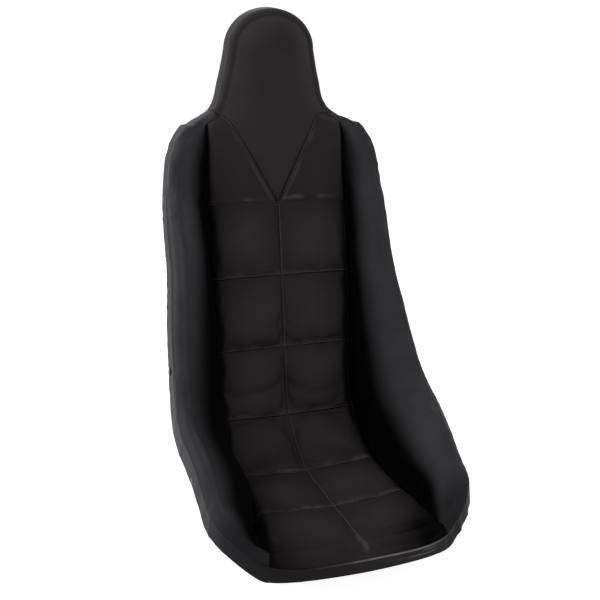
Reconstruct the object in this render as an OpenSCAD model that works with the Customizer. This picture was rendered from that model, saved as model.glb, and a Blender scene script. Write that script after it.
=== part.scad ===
// High-back bucket seat: a moulded shell on two runners, foam pads, and a sewn slip-on cover.
// The seat faces -Y, +X is the sitter's left, +Z is up.
// The origin is the middle of the four base bolts, on the flat underside of the runners.
//
// Every layer is measured from one surface, the inner face of the shell. A place on it is given
// by x (sideways) and s (the distance along the spine, from the front lip to the headrest), or by
// v (once round the rim of one half: 0 front middle, 1 to 2 the side, 3 headrest top) and
// u (0 spine, 1 start of the rim roll, 2 end of the roll, 3 end of the outer flange).

/* [Seat profile] */
// Length of the cushion from the lip to the start of the bight
cushion_len = 260; // [220:1:320]
// Slope of the cushion, up toward the front, in degrees
cushion_rake = 11.5; // [6:0.5:16]
// Radius of the bight, where the cushion turns into the back
bight_r = 195; // [170:1:230]
// Lean of the backrest from upright, in degrees
recline = 19; // [12:0.5:26]
// Length of the straight backrest, from the bight to the neck
back_len = 570; // [500:1:640]
// Forward bend of the headrest from the backrest, in degrees
head_tilt = 10; // [4:0.5:16]
// Radius of that bend
neck_r = 300; // [200:5:400]
// Length of the headrest above the bend
head_len = 147; // [120:1:200]
// Height of the shell's spine above the base plane at the lip
lip_z = 77; // [66:1:100]
// Distance of the lip in front of the middle of the base bolts
lip_y = 325; // [310:1:340]

/* [Rim half widths] */
// Half width across the front corners
corner_w = 238; // [225:1:250]
// Half width at the thighs
thigh_w = 242; // [230:1:255]
// Half width at the hips
hip_w = 250; // [235:1:262]
// Half width at the waist
waist_w = 236; // [222:1:250]
// Half width at the ribs
rib_w = 222; // [210:1:236]
// Half width at the shoulders
shoulder_w = 218; // [208:1:230]
// Half width at the neck
neck_w = 115; // [108:1:124]
// Half width low on the headrest
head_low_w = 91; // [84:1:100]
// Half width high on the headrest
head_high_w = 78; // [70:1:84]

/* [Bolster heights] */
// Rise of the rim above the floor at the front corners
corner_h = 74; // [60:1:84]
// Rise at the thighs
thigh_h = 123; // [105:1:135]
// Rise at the hips
hip_h = 164; // [140:1:175]
// Rise where the bight ends
bight_h = 154; // [130:1:165]
// Rise at the waist
waist_h = 100; // [80:1:115]
// Rise at the ribs
rib_h = 65; // [50:1:80]
// Rise at the shoulders
shoulder_h = 30; // [20:1:45]

/* [Floor between the bolsters] */
// Half width of the floor at the lip
floor_front_w = 166; // [158:1:170]
// Half width of the floor from the thighs to the bight
floor_seat_w = 159; // [150:1:164]
// Half width of the floor at the back
floor_back_w = 152; // [142:1:158]
// Rise of the floor from its middle to its edges
floor_dish = 12; // [4:1:18]
// Upward turn of the floor at the lip
lip_rise = 15; // [6:1:20]

/* [Shell] */
// Wall of the moulded shell
shell_wall = 5; // [4:0.5:6]
// Radius of the rolled rim
rim_r = 9; // [8:0.5:11]
// Depth of the outer flange below the rim, along the sides
flange_depth = 38; // [32:1:44]
// Depth of the flange at the front lip
flange_front = 31; // [26:1:36]
// Depth of the flange at the front corners
flange_corner = 29; // [26:1:36]
// Depth of the flange round the headrest
flange_head = 28; // [24:1:32]
// Outward slope of the flange, in degrees, at the front and along the sides
flange_flare = 5; // [3:1:10]
// And its outward slope round the headrest
head_flare = 3; // [1:1:9]

/* [Base] */
// Distance between the bolts from side to side
bolt_pitch_x = 236; // [220:1:250]
// Distance between the bolts from front to back
bolt_pitch_y = 290; // [270:1:310]
// Diameter of the bore in each threaded insert, for an M8 bolt
bolt_d = 8; // [6:0.5:10]
// Outside diameter of each insert
insert_d = 14; // [12:0.5:16]
// Length of each insert
insert_len = 20; // [16:1:24]
// Width of each runner
runner_w = 44; // [36:1:52]
// Length of each runner on the ground
runner_len = 380; // [360:1:390]

/* [Padding and cover] */
// Foam thickness at the middle of the quilted squares
pad_t = 21; // [16:1:26]
// Depth of the sewn channels
channel_depth = 8; // [4:1:10]
// Foam thickness in the valleys beside the bolsters
valley_t = 4; // [3:0.5:6]
// Extra foam at the middle of the bolsters
bolster_bulge = 40; // [24:1:44]
// Foam thickness at the middle of the headrest
head_pad_t = 34; // [26:1:40]
// Foam thickness over the rim
rim_pad_t = 3; // [2:0.5:4]
// Thickness of the vinyl cover
vinyl_t = 1.5; // [1.2:0.1:2]
// Distance between the sewn channels along the spine
row_pitch = 158; // [150:1:162]
// Quilted rows, counted up from the lip
rows = 6; // [5:1:6]
// Length of the V of the headrest panel, from the neck down to the first channel
v_len = 182; // [170:1:200]
// Half width of the V where it meets the neck
v_half = 100; // [85:1:104]
// Radius of the piping in the rim seam
piping_r = 1.8; // [1.5:0.1:2.2]
// Radius of the elastic in the hem
elastic_r = 1.6; // [1.2:0.1:2]

/* [Snap fasteners] */
// Snap fasteners on each side
snaps = 5; // [3:1:6]
// Diameter of the snap caps
snap_cap_d = 15; // [12:0.5:16]
// Diameter of the screw that holds each stud
snap_screw_d = 3; // [2.5:0.1:3.5]
// Length of that screw behind its head
snap_screw_len = 11; // [9:0.5:14]

/* [Hidden] */
$fn = 32;

fit = 0.3;              // clearance between neighbouring layers
valley_gap = 2;         // gap between the panel and each bolster, at the bottom of the valley
seam_gap = 1;           // gap between neighbouring cover panels where they are sewn together
step = 1;               // finite step for slopes, in mm
turn = 0.004;           // finite step for slopes in u and v

// stations along the spine
bight_len = bight_r * (90 - recline + cushion_rake) * PI / 180;
neck_len = neck_r * head_tilt * PI / 180;
s_bight = cushion_len;
s_back = s_bight + bight_len;
s_neck = s_back + back_len;
s_head = s_neck + neck_len;
s_top = s_head + head_len;
s_apex = s_neck - v_len;
s_first_row = s_apex - (rows - 1) * row_pitch;

// the plan of the rim, as the floor would lie if it were rolled out flat
front_cap = 105;                      // length of the rounded front end
front_round = 2.4;                    // exponent of its superellipse
head_cap = 69;                        // length of the rounded top of the headrest
lip_reach = 5;                        // how far the rim roll starts beyond the lip
s_front = front_cap - lip_reach;      // where the rounded front end begins
s_cap = s_top - head_cap;             // where the rounded top begins
hub_front = 60;                       // the front spokes spread over this length of the spine
hub_head = 25;                        // and the headrest spokes over this length
band_t = rim_pad_t + fit + vinyl_t;   // the padded band is flush with the covers

rim_keys = [[s_front, corner_w], [s_front + 90, thigh_w], [330, hip_w],
            [s_back + 0.19 * back_len, waist_w], [s_back + 0.45 * back_len, rib_w],
            [s_back + 0.71 * back_len, shoulder_w], [s_neck - 45, 0.865 * shoulder_w],
            [s_neck + 5, neck_w], [s_neck + 70, head_low_w], [s_cap, head_high_w]];
rise_keys = [[0, 0.6 * corner_h], [s_front, corner_h], [s_front + 90, thigh_h], [330, hip_h],
             [480, bight_h], [s_back + 0.19 * back_len, waist_h],
             [s_back + 0.45 * back_len, rib_h], [s_back + 0.71 * back_len, shoulder_h],
             [s_neck - 30, 12], [s_neck + 30, 5]];
floor_keys = [[0, floor_front_w], [150, floor_seat_w], [330, floor_seat_w], [480, floor_back_w],
              [s_back + 0.4 * back_len, floor_back_w + 3],
              [s_back + 0.8 * back_len, floor_back_w - 4], [s_neck, floor_back_w - 7]];

shell_color = [0.05, 0.05, 0.055];
vinyl_color = [0.13, 0.12, 0.125];
foam_color = [0.35, 0.35, 0.33];
metal_color = [0.55, 0.55, 0.56];

// ---- small helpers ----
function clamp(t, lo, hi) = max(lo, min(hi, t));
function mix(a, b, t) = a + (b - a) * t;
function ease(t) = let (c = clamp(t, 0, 1)) c * c * (3 - 2 * c);
function unit(p) = p / norm(p);
function flip(p) = [-p[0], p[1], p[2]];

// a smooth curve through [station, value] pairs
function span(k, s, i = 0) = i >= len(k) - 2 || s < k[i + 1][0] ? i : span(k, s, i + 1);
function tangent(k, i) =
    let (a = k[max(i - 1, 0)], b = k[min(i + 1, len(k) - 1)]) (b[1] - a[1]) / (b[0] - a[0]);
function curve(k, s0) =
    let (s = clamp(s0, k[0][0], k[len(k) - 1][0]), i = span(k, s),
         d = k[i + 1][0] - k[i][0], t = (s - k[i][0]) / d, t2 = t * t, t3 = t2 * t)
    (2 * t3 - 3 * t2 + 1) * k[i][1] + (t3 - 2 * t2 + t) * d * tangent(k, i)
    + (3 * t2 - 2 * t3) * k[i + 1][1] + (t3 - t2) * d * tangent(k, i + 1);

function rim_half(s) = curve(rim_keys, s);
function rim_rise(s) = curve(rise_keys, s);
function floor_half(s) = curve(floor_keys, s);

// ---- the spine: straight cushion, bight arc, straight back, neck arc, straight headrest ----
function on_line(p, h, d) = p + d * [cos(h), sin(h)];
function on_arc(p, h, r, d) =
    let (a = h + d / r * 180 / PI) p + r * [sin(a) - sin(h), cos(h) - cos(a)];
spine_lip = [-lip_y, lip_z];
back_heading = 90 - recline;
spine_bight = on_line(spine_lip, -cushion_rake, cushion_len);
spine_back = on_arc(spine_bight, -cushion_rake, bight_r, bight_len);
spine_neck = on_line(spine_back, back_heading, back_len);
spine_head = on_arc(spine_neck, back_heading, neck_r, neck_len);
function spine(s) =
    s < s_bight ? on_line(spine_lip, -cushion_rake, s)
    : s < s_back ? on_arc(spine_bight, -cushion_rake, bight_r, s - s_bight)
    : s < s_neck ? on_line(spine_back, back_heading, s - s_back)
    : s < s_head ? on_arc(spine_neck, back_heading, neck_r, s - s_neck)
    : on_line(spine_head, back_heading + head_tilt, s - s_head);

// the direction in which heights are measured turns slowly from upright to forward
rib_start = 20;
rib_end = s_back + 0.51 * back_len;
function rib(s) =
    mix(90 - cushion_rake, 180 - recline, ease((s - rib_start) / (rib_end - rib_start)))
    + head_tilt * clamp((s - s_neck) / neck_len, 0, 1);
function place(x, s, h) =
    let (p = spine(s), a = rib(s)) [x, p[0] + h * cos(a), p[1] + h * sin(a)];

// ---- the inner face of the shell ----
function ramp(q) = let (a = 0.25, t = max(q, 0)) (sqrt(t * t + a * a) - a) / (sqrt(1 + a * a) - a);
function dish(s) = floor_dish * (1 - 0.7 * ease((s - s_neck + 60) / 120));
function lip_curl(s) = lip_rise * pow(clamp((25 - s) / (25 + lip_reach), 0, 2), 2);
function height(x, s) =
    let (f = floor_half(s), w = max(rim_half(s), f + 30))
    dish(s) * pow(clamp(abs(x) / f, 0, 1), 2) + lip_curl(s)
    + rim_rise(s) * ramp((abs(x) - f) / (w - f));
function bed(x, s) = place(x, s, height(x, s));
function bed_normal(x, s) =
    unit(cross(bed(x + step, s) - bed(x - step, s), bed(x, s + step) - bed(x, s - step)));

// ---- the rim: for each v, its x, its s and the outward direction there ----
function edge(v) =
    v <= 1 ? let (n = front_round, a = rim_half(s_front), b = front_cap,
                  cx = pow(sin(90 * v), 2 / n), cs = pow(max(cos(90 * v), 0), 2 / n))
             edge_of(a * cx, s_front - b * cs, pow(cx, n - 1) / a, -pow(cs, n - 1) / b)
    : v < 2 ? let (s = mix(s_front, s_cap, v - 1))
              edge_of(rim_half(s), s, 1, -(rim_half(s + 2) - rim_half(s - 2)) / 4)
    : let (a = rim_half(s_cap), cx = max(cos(90 * (v - 2)), 0), cs = sin(90 * (v - 2)))
      edge_of(a * cx, s_cap + head_cap * cs, cx / a, cs / head_cap);
function edge_of(x, s, nx, ns) = let (l = norm([nx, ns])) [x, s, nx / l, ns / l];
function hub(v, s) = v < 1 ? s_front - (1 - v) * hub_front : v > 2 ? s_cap + (v - 2) * hub_head : s;

// a point of the shell's face, its rim roll or its flange
function face_point(v, u) =
    v < 0 ? flip(face_point(-v, u)) : v > 3 ? flip(face_point(6 - v, u)) :
    let (e = edge(v), x = e[0], s = e[1], nx = e[2], ns = e[3], ui = clamp(u, 0, 1),
         px = x * ui, ps = mix(hub(v, s), s, ui))
    u <= 1 ? bed(px, ps) :
    let (up = atan((height(x + nx, s + ns) - height(x - nx, s - ns)) / 2),
         down = flare(v) - 90, a = mix(up, down, clamp(u - 1, 0, 1)),
         l = max(u - 2, 0) * flange(v),
         o = rim_r * (sin(up) - sin(a)) + l * cos(down),
         k = rim_r * (cos(a) - cos(up)) + l * sin(down))
    place(px + nx * o, ps + ns * o, height(px, ps) + k);
function face_normal(v, u) =
    u < 1 ? (v < 0 ? flip(face_normal(-v, u)) : v > 3 ? flip(face_normal(6 - v, u)) :
             let (e = edge(v)) bed_normal(e[0] * u, mix(hub(v, e[1]), e[1], u)))
    : unit(cross(face_point(v, u + turn) - face_point(v, max(u - turn, 0)),
               face_point(v + turn, u) - face_point(v - turn, u)));
function side_v(s) = 1 + (s - s_front) / (s_cap - s_front);
function flange(v) = curve([[0, flange_front], [0.7, flange_corner], [1.1, flange_depth],
                            [side_v(s_neck - 60), flange_depth], [side_v(s_neck + 30), flange_head],
                            [3, flange_head]], v);
function flare(v) = curve([[0, flange_flare], [side_v(s_neck - 60), flange_flare],
                           [side_v(s_neck + 30), head_flare], [3, head_flare]], v);

// ---- frames: [point on the shell's face, normal, foam thickness there] ----
function at(f, d, pads) = f[0] + f[1] * (d + pads * f[2]);
function flip_frame(f) = [flip(f[0]), flip(f[1]), f[2]];

// a closed solid between two offsets of a grid of frames; each offset is [distance, pads].
// Columns run outward or along +X, rows along the spine or round the rim. A folded end is a row
// whose two halves meet in the middle plane, so it needs no wall.
module layer(grid, low, high, fold_first = false, fold_last = false) {
    m = len(grid);
    n = len(grid[0]);
    function column(j, i) =
        (fold_first && j == 0) || (fold_last && j == m - 1) ? max(i, n - 1 - i) : i;
    function id(j, i, k) = k * m * n + j * n + column(j, i);
    points = [for (k = [0, 1]) for (row = grid) for (f = row)
              at(f, k == 0 ? low[0] : high[0], k == 0 ? low[1] : high[1])];
    ends = [if (!fold_first) 0, if (!fold_last) m - 1];
    faces = concat(
        [for (k = [0, 1]) for (j = [0 : m - 2]) for (i = [0 : n - 2])
            each quad(id(j, i, k), id(j, i + 1, k), id(j + 1, i + 1, k), id(j + 1, i, k), k == 1)],
        [for (j = [0 : m - 2]) for (i = [0, n - 1])
            each quad(id(j, i, 0), id(j + 1, i, 0), id(j + 1, i, 1), id(j, i, 1), i != 0)],
        [for (i = [0 : n - 2]) for (j = ends)
            each quad(id(j, i, 0), id(j, i + 1, 0), id(j, i + 1, 1), id(j, i, 1), j == 0)]);
    polyhedron(points, faces, convexity = 8);
}
function quad(a, b, c, d, back) = back ? [[a, c, b], [a, d, c]] : [[a, b, c], [a, c, d]];

// a round tube through points, with a normal at each; closed tubes join end to start
module tube(path, normals, r, closed, sides = 8) {
    m = len(path);
    function ahead(j) = closed ? path[(j + 1) % m] : path[min(j + 1, m - 1)];
    function behind(j) = closed ? path[(j + m - 1) % m] : path[max(j - 1, 0)];
    points = [for (j = [0 : m - 1])
              let (t = unit(ahead(j) - behind(j)), b = unit(cross(t, normals[j])), n = cross(b, t))
              for (i = [0 : sides - 1])
              path[j] + r * (cos(360 * i / sides) * b + sin(360 * i / sides) * n)];
    function id(j, i) = (j % m) * sides + i % sides;
    walls = [for (j = [0 : closed ? m - 1 : m - 2]) for (i = [0 : sides - 1])
             each quad(id(j, i), id(j, i + 1), id(j + 1, i + 1), id(j + 1, i), false)];
    caps = closed ? [] : concat(
        [for (i = [1 : sides - 2]) [0, i + 1, i]],
        [for (i = [1 : sides - 2]) let (k = (m - 1) * sides) [k, k + i, k + i + 1]]);
    polyhedron(points, concat(walls, caps), convexity = 8);
}

// ---- where the layers lie ----
foam_low = [fit, 0];
foam_high = [fit, 1];
cover_low = [2 * fit, 1];
cover_high = [2 * fit + vinyl_t, 1];
band_low = [fit, 0];
band_high = [fit + band_t, 0];
band_face = fit + band_t;             // outer face of the bands, above the shell's face

// ---- the rim seam runs round the flange; on each side of it is half a slot for the piping ----
u_seam = 2.4;
roll_us = [1.35, 1.7, 2];             // columns round the roll, shared by the shell and the pads
function half_v(v) = v < 0 ? -v : v > 3 ? 6 - v : v;
function slot(v) = (piping_r + 2 * fit) / flange(half_v(v));
function inner_seam(v) = u_seam - slot(v);
function outer_seam(v) = u_seam + slot(v);

// ---- the bottom of each valley, as u along the spoke at v ----
front_limit = 0.97;                   // the valley runs out at the front where it meets the rim
neck_limit = 0.97;                    // and at the neck it stays inside the rim
function valley_u(v) = let (e = edge(v))
    min(v < 1 ? front_limit : neck_limit, floor_half(e[1]) / max(e[0], 1));
v_corner = asin(pow(floor_front_w / front_limit / rim_half(s_front), front_round / 2)) / 90;
neck_gap = 4;                         // the bolsters and gussets stop this far below the neck
hood_mouth = 20;                      // the back of the hood is open up to this far above the neck
v_shoulder = side_v(s_neck - neck_gap);
v_neck = side_v(s_neck);
function valley_x(s) = min(floor_half(s), neck_limit * rim_half(s)) - valley_gap / 2;

// ---- the rings of the mesh round the rim, shared by all layers so that their facets line up ----
function steps(a, b, n) = [for (i = [0 : n - 1]) mix(a, b, i / n)];
v_hood = side_v(s_neck + hood_mouth);
v_first_row = side_v(s_first_row);
v_apex = side_v(s_apex);
cells = 3;                            // steps of the mesh along one quilted square
gusset_steps = 5;                     // along the V
front_rings = 4;                      // and across half of the front lip
half_rim = concat(steps(0, v_corner, front_rings), steps(v_corner, 1, 3), steps(1, v_first_row, 1),
                  steps(v_first_row, v_apex, (rows - 1) * cells), steps(v_apex, v_shoulder, gusset_steps),
                  steps(v_shoulder, v_neck, 1), steps(v_neck, v_hood, 1), steps(v_hood, 2, 3),
                  steps(2, 3, 6), [3]);
whole_rim = concat([for (i = [len(half_rim) - 1 : -1 : 1]) -half_rim[i]], half_rim);
tiny = 0.00001;
function ring(from, to) = [for (v = whole_rim) if (v > from - tiny && v < to + tiny) v];
function shrink(vs, d) = [for (i = [0 : len(vs) - 1]) vs[i] + (i == 0 ? d : i == len(vs) - 1 ? -d : 0)];

// ---- padding thickness on the floor, with the sewn channels ----
function crown(t) = sqrt(max(sin(180 * clamp(t, 0, 1)), 0));
function front_s(x) =
    s_front - front_cap
    * pow(1 - pow(clamp(abs(x) / rim_half(s_front), 0, 1), front_round), 1 / front_round);
function row_part(x, s) = s < s_first_row ? (s_first_row - s) / (s_first_row - front_s(x))
    : let (t = (s_apex - s) / row_pitch) t - floor(t);
lip_pad = 8;                          // foam thickness where the pad turns over the lip
lip_taper = 45;                       // the pad thins to that over this length
function panel_pad(x, s) =
    let (a = clamp(abs(x) / valley_x(s), 0, 1), side = valley_t + (pad_t - valley_t) * (1 - pow(a, 12)),
         sewn = channel_depth * (1 - crown(min(a, 0.5)) * crown(row_part(x, s))),
         front = ease((s - front_s(x)) / lip_taper))
    mix(lip_pad, max(side - sewn, valley_t), front);

// at the lip the pad is lifted a little off the tight curl of the shell
lip_lift = 2;
function lifted(p, n, pad, lift) = [p + n * lift, n, pad - lift];

columns = [for (i = [-front_rings : front_rings])
    sign(i) * edge(v_corner * abs(i) / front_rings)[0] / edge(v_corner)[0]];
function panel_row(s) = [for (c = columns) let (x = c * valley_x(s))
    [bed(x, s), bed_normal(x, s), panel_pad(x, s)]];
function lip_row(t) = [for (c = columns)
    let (x = c * (floor_front_w - valley_gap), s = mix(s_first_row, front_s(x), t))
    lifted(bed(x, s), bed_normal(x, s), panel_pad(x, s), lip_lift * t)];
function front_v(x) = sign(x) * asin(pow(abs(x) / rim_half(s_front), front_round / 2)) / 90;
function lip_roll(i) = [for (c = columns)
    let (v = front_v(c * (floor_front_w - valley_gap)), u = i < len(roll_us) ? roll_us[i] : inner_seam(v),
         t = (u - 1) / (u_seam - 1))
    lifted(face_point(v, u), face_normal(v, u), mix(lip_pad, rim_pad_t, t), lip_lift * (1 - t / 2))];
lip_grid = concat([for (i = [len(roll_us) : -1 : 0]) lip_roll(i)],
                  [for (i = [cells : -1 : 1]) lip_row(i / cells)]);
function panel_grid(low_row, high_row) =
    [for (i = [low_row * cells : high_row * cells]) panel_row(s_first_row + i * row_pitch / cells)];
seat_rows = rows - 4;                 // sewn rows of the seat pad, besides the one at the lip

module seat_foam() {
    color(foam_color) layer(concat(lip_grid, panel_grid(0, seat_rows)), foam_low, foam_high);
}

module back_foam() {
    color(foam_color) layer(panel_grid(seat_rows, rows - 1), foam_low, foam_high);
}

module quilted_panel() {
    color(vinyl_color) layer(concat(lip_grid, panel_grid(0, rows - 1)), cover_low, cover_high);
}

// ---- the headrest pad: a V that widens up to the neck, then the whole headrest ----
seam_pad = 12;                        // foam thickness along the V seam
function v_edge(s) = v_half * (s - s_apex) / v_len;
v_steps = [for (i = [0 : gusset_steps]) max(0.04, i / gusset_steps * (1 - neck_gap / v_len))];
head_parts = [0, 0.55, 1];
head_cols = len(head_parts) + len(roll_us);
function v_row(t) = let (s = s_apex + t * v_len, full = mix(pad_t, head_pad_t, t))
    [for (i = [-head_cols : head_cols]) let (a = i / head_cols, x = a * (v_edge(s) - seam_gap / 2))
    [bed(x, s), bed_normal(x, s), seam_pad + (full - seam_pad) * (1 - pow(abs(a), 3))]];
function head_u(v, i) = i < len(head_parts) ? head_parts[i]
    : i < head_cols ? roll_us[i - len(head_parts)] : inner_seam(v);
function head_frame(v, i) = let (u = head_u(v, abs(i)),
    f = [face_point(v, u), face_normal(v, u),
         rim_pad_t + (head_pad_t - rim_pad_t) * (1 - pow(min(u, 1), 2.5))])
    i < 0 ? flip_frame(f) : f;
function head_row(v) = [for (i = [-head_cols : head_cols]) head_frame(v, i)];
headrest_grid = concat([for (t = v_steps) v_row(t)], [for (v = ring(v_neck, 3)) head_row(v)]);

module headrest_foam() {
    color(foam_color) layer(headrest_grid, foam_low, foam_high, fold_last = true);
}

module headrest_panel() {
    color(vinyl_color) layer(headrest_grid, cover_low, cover_high, fold_last = true);
}

// ---- the gussets fill the corners between the V, the first channel and the valleys ----
function gusset_row(t) = let (s = s_apex + max(seam_gap, t * (v_len - neck_gap)),
    near = v_edge(s) + seam_gap / 2, far = valley_x(s))
    [for (i = [0 : 4]) let (a = i / 4, x = mix(near, far, a))
    [bed(x, s), bed_normal(x, s), mix(seam_pad, valley_t, a) + (pad_t - seam_pad) * crown(a) * crown(t)]];
gusset_grid = [for (i = [0 : gusset_steps]) gusset_row(i / gusset_steps)];
function other_side(grid) =
    [for (row = grid) [for (i = [len(row) - 1 : -1 : 0]) flip_frame(row[i])]];

module gusset_foam_left() {
    color(foam_color) layer(gusset_grid, foam_low, foam_high);
}

module gusset_foam_right() {
    color(foam_color) layer(other_side(gusset_grid), foam_low, foam_high);
}

module shoulder_gusset_left() {
    color(vinyl_color) layer(gusset_grid, cover_low, cover_high);
}

module shoulder_gusset_right() {
    color(vinyl_color) layer(other_side(gusset_grid), cover_low, cover_high);
}

// ---- the bolsters, from the valley over the rim to the seam ----
wall_start = 0.18;                    // the bolster is thin up to here, at the bottom of the valley
full_width = 60;                      // narrower bolsters, as at the ends, swell less
bolster_parts = [0, wall_start, 0.3, 0.45, 0.6, 0.75, 0.88, 1];
function bolster_low(v) = valley_u(v) + valley_gap / 2 / edge(v)[0];
function fullness(v) = clamp(rim_rise(edge(v)[1]) / 100, 0.25, 1)
    * ease((1 - bolster_low(v)) * edge(v)[0] / full_width) * ease((v - v_corner) / (1 - v_corner));
function swell(v, q) = bolster_bulge * fullness(v) * sin(180 * max(q - wall_start, 0) / (1 - wall_start));
function bolster_frame(v, u, q) =
    [face_point(v, u), face_normal(v, u), mix(valley_t, rim_pad_t, q) + swell(v, q)];
function bolster_row(v) = let (low = bolster_low(v))
    concat([for (q = bolster_parts) bolster_frame(v, mix(low, 1, q), q)],
           [for (u = concat(roll_us, [inner_seam(v)])) bolster_frame(v, u, 1)]);
bolster_grid = [for (v = ring(v_corner, v_shoulder)) bolster_row(v)];

module bolster_foam_left() {
    color(foam_color) layer(bolster_grid, foam_low, foam_high);
}

module bolster_foam_right() {
    color(foam_color) layer(other_side(bolster_grid), foam_low, foam_high);
}

module bolster_cover_left() {
    color(vinyl_color) layer(bolster_grid, cover_low, cover_high);
}

module bolster_cover_right() {
    color(vinyl_color) layer(other_side(bolster_grid), cover_low, cover_high);
}

// ---- the bands wrap the rim and the flange, past the flange's edge by the hem ----
hem = 2 * elastic_r + 2 * fit + 1;
function u_hem(v) = 3 + hem / flange(half_v(v));
function band_row(v) = [for (u = [outer_seam(v), 3, u_hem(v)]) [face_point(v, u), face_normal(v, u), 0]];
v_join = 0.0005;                      // half the gap between neighbouring bands, in v
function band_grid(vs) = [for (v = shrink(vs, v_join)) band_row(v)];

module front_band() {
    color(vinyl_color) layer(band_grid(ring(-v_corner, v_corner)), band_low, band_high);
}

module side_band_left() {
    color(vinyl_color) difference() {
        layer(band_grid(ring(v_corner, v_neck)), band_low, band_high);
        for (f = snap_frames) snap_hole(f);
    }
}

module side_band_right() {
    color(vinyl_color) difference() {
        layer(other_side(band_grid(ring(v_corner, v_neck))), band_low, band_high);
        for (f = snap_frames) snap_hole(flip_frame(f));
    }
}

module headrest_band() {
    top = ring(v_neck, 3);
    over = [for (i = [len(top) - 2 : -1 : 0]) 6 - top[i]];
    color(vinyl_color) layer(band_grid(concat(top, over)), band_low, band_high);
}

// ---- the rear of the hood lies over the edge of the headrest's flange ----
function flange_end(v) = let (p = face_point(v, 3), e = edge(v), a = rib(e[1]), c = spine(e[1]))
    (p[1] - c[0]) * cos(a) + (p[2] - c[1]) * sin(a);
function rear_frame(v, t) =
    let (e = edge(v), s = hub(v, e[1]), a = rib(e[1]), back = [0, -cos(a), -sin(a)],
         rim_point = face_point(v, 3), middle = place(0, s, flange_end(v)))
    [mix(middle, [rim_point[0] * sign(t), rim_point[1], rim_point[2]], abs(t)), back, 0];
rear_grid = [for (v = ring(v_hood, 3)) [for (t = [1, 0.5, 0, -0.5, -1]) rear_frame(v, t)]];

module headrest_rear_panel() {
    color(vinyl_color)
        layer(rear_grid, [fit, 0], [fit + vinyl_t, 0], fold_last = true);
}

// ---- piping in the rim seam, and the elastic in the hem ----
module rim_piping() {
    vs = [for (i = [1 : len(whole_rim) - 1]) whole_rim[i]];
    color(vinyl_color) tube(
        [for (v = vs) face_point(v, u_seam) + face_normal(v, u_seam) * (band_face - piping_r / 4)],
        [for (v = vs) face_normal(v, u_seam)], piping_r, closed = true, sides = 6);
}

module hem_elastic() {
    frames = [for (v = ring(-v_neck, v_neck)) let (u = 3 + (fit + elastic_r) / flange(half_v(v)))
              [face_point(v, u), face_normal(v, u)]];
    color(foam_color) tube([for (f = frames) f[0] - f[1] * elastic_r], [for (f = frames) f[1]],
                           elastic_r, closed = false, sides = 6);
}

// ---- snap fasteners hold the hem of the side bands to the flange ----
snap_first = 190;                     // station of the snap nearest the front
snap_last = s_neck - 170;             // and of the one nearest the neck
u_snap = 2.86;
snap_frames = [for (i = [0 : snaps - 1])
    let (v = side_v(mix(snap_first, snap_last, i / (snaps - 1))))
    [face_point(v, u_snap), face_normal(v, u_snap), 0]];
stud_base_t = 0.7;
stud_post_r = 2;
stud_top = 2.3;
socket_r = 5.5;
socket_top = 2.9;
barrel_r = 2.6;
hole_play = 0.3;

module on_frame(f) {
    n = f[1];
    translate(f[0]) rotate([0, acos(n[2]), atan2(n[1], n[0])]) children();
}

module each_snap() {
    for (f = snap_frames) {
        on_frame(f) children();
        on_frame(flip_frame(f)) children();
    }
}

// the hole in a band: wide inside for the socket, narrow outside for the barrel of the cap
module snap_hole(f) {
    on_frame(f) {
        translate([0, 0, -1]) cylinder(h = socket_top + 2 * hole_play + 1, r = socket_r + hole_play);
        cylinder(h = band_face + 2, r = barrel_r + hole_play);
    }
}

module snap_caps() {
    cap_r = snap_cap_d / 2;
    color(metal_color) each_snap() {
        translate([0, 0, band_face + hole_play]) rotate_extrude()
            polygon([[0, 0], [cap_r, 0], [cap_r, 0.6], [0.85 * cap_r, 1.3], [0.45 * cap_r, 1.8], [0, 1.9]]);
        translate([0, 0, socket_top + hole_play])
            cylinder(h = band_face - socket_top, r = barrel_r);
    }
}

module snap_sockets() {
    color(metal_color) each_snap() difference() {
        translate([0, 0, fit + stud_base_t + hole_play])
            cylinder(h = socket_top - stud_base_t - fit, r = socket_r);
        cylinder(h = socket_top + 1, r = stud_post_r + hole_play);
    }
}

module snap_studs() {
    color(metal_color) each_snap() difference() {
        union() {
            translate([0, 0, fit / 3]) cylinder(h = stud_base_t, r = socket_r - 1);
            translate([0, 0, fit / 3]) cylinder(h = stud_top, r = stud_post_r);
        }
        cylinder(h = stud_top + 1, r = snap_screw_d / 2 + fit / 3);
    }
}

module stud_screws() {
    color(metal_color) each_snap() {
        translate([0, 0, -snap_screw_len])
            cylinder(h = snap_screw_len + stud_top + fit, r = snap_screw_d / 2);
        translate([0, 0, stud_top + fit]) cylinder(h = 0.5, r = stud_post_r);
    }
}

// ---- the shell, with its runners, insert pockets and screw holes ----
shell_parts = concat([0.25, 0.5, 0.75], [for (q = bolster_parts) 1 + q], [for (u = roll_us) 1 + u], [4]);
lip_limit = 0.8;                      // the rings crowd less toward the rim along the lip
function shell_u(v, c) = let (k = min(valley_u(v), mix(lip_limit, 1, v / v_corner)))
    c <= 1 ? c * k : c <= 2 ? mix(k, 1, c - 1) : c - 1;
function shell_frame(v, i) = let (u = i == 0 ? 0 : shell_u(v, shell_parts[abs(i) - 1]),
    f = [face_point(v, u), face_normal(v, u), 0]) i < 0 ? flip_frame(f) : f;
shell_grid = [for (v = half_rim) [for (i = [-len(shell_parts) : len(shell_parts)]) shell_frame(v, i)]];

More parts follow.
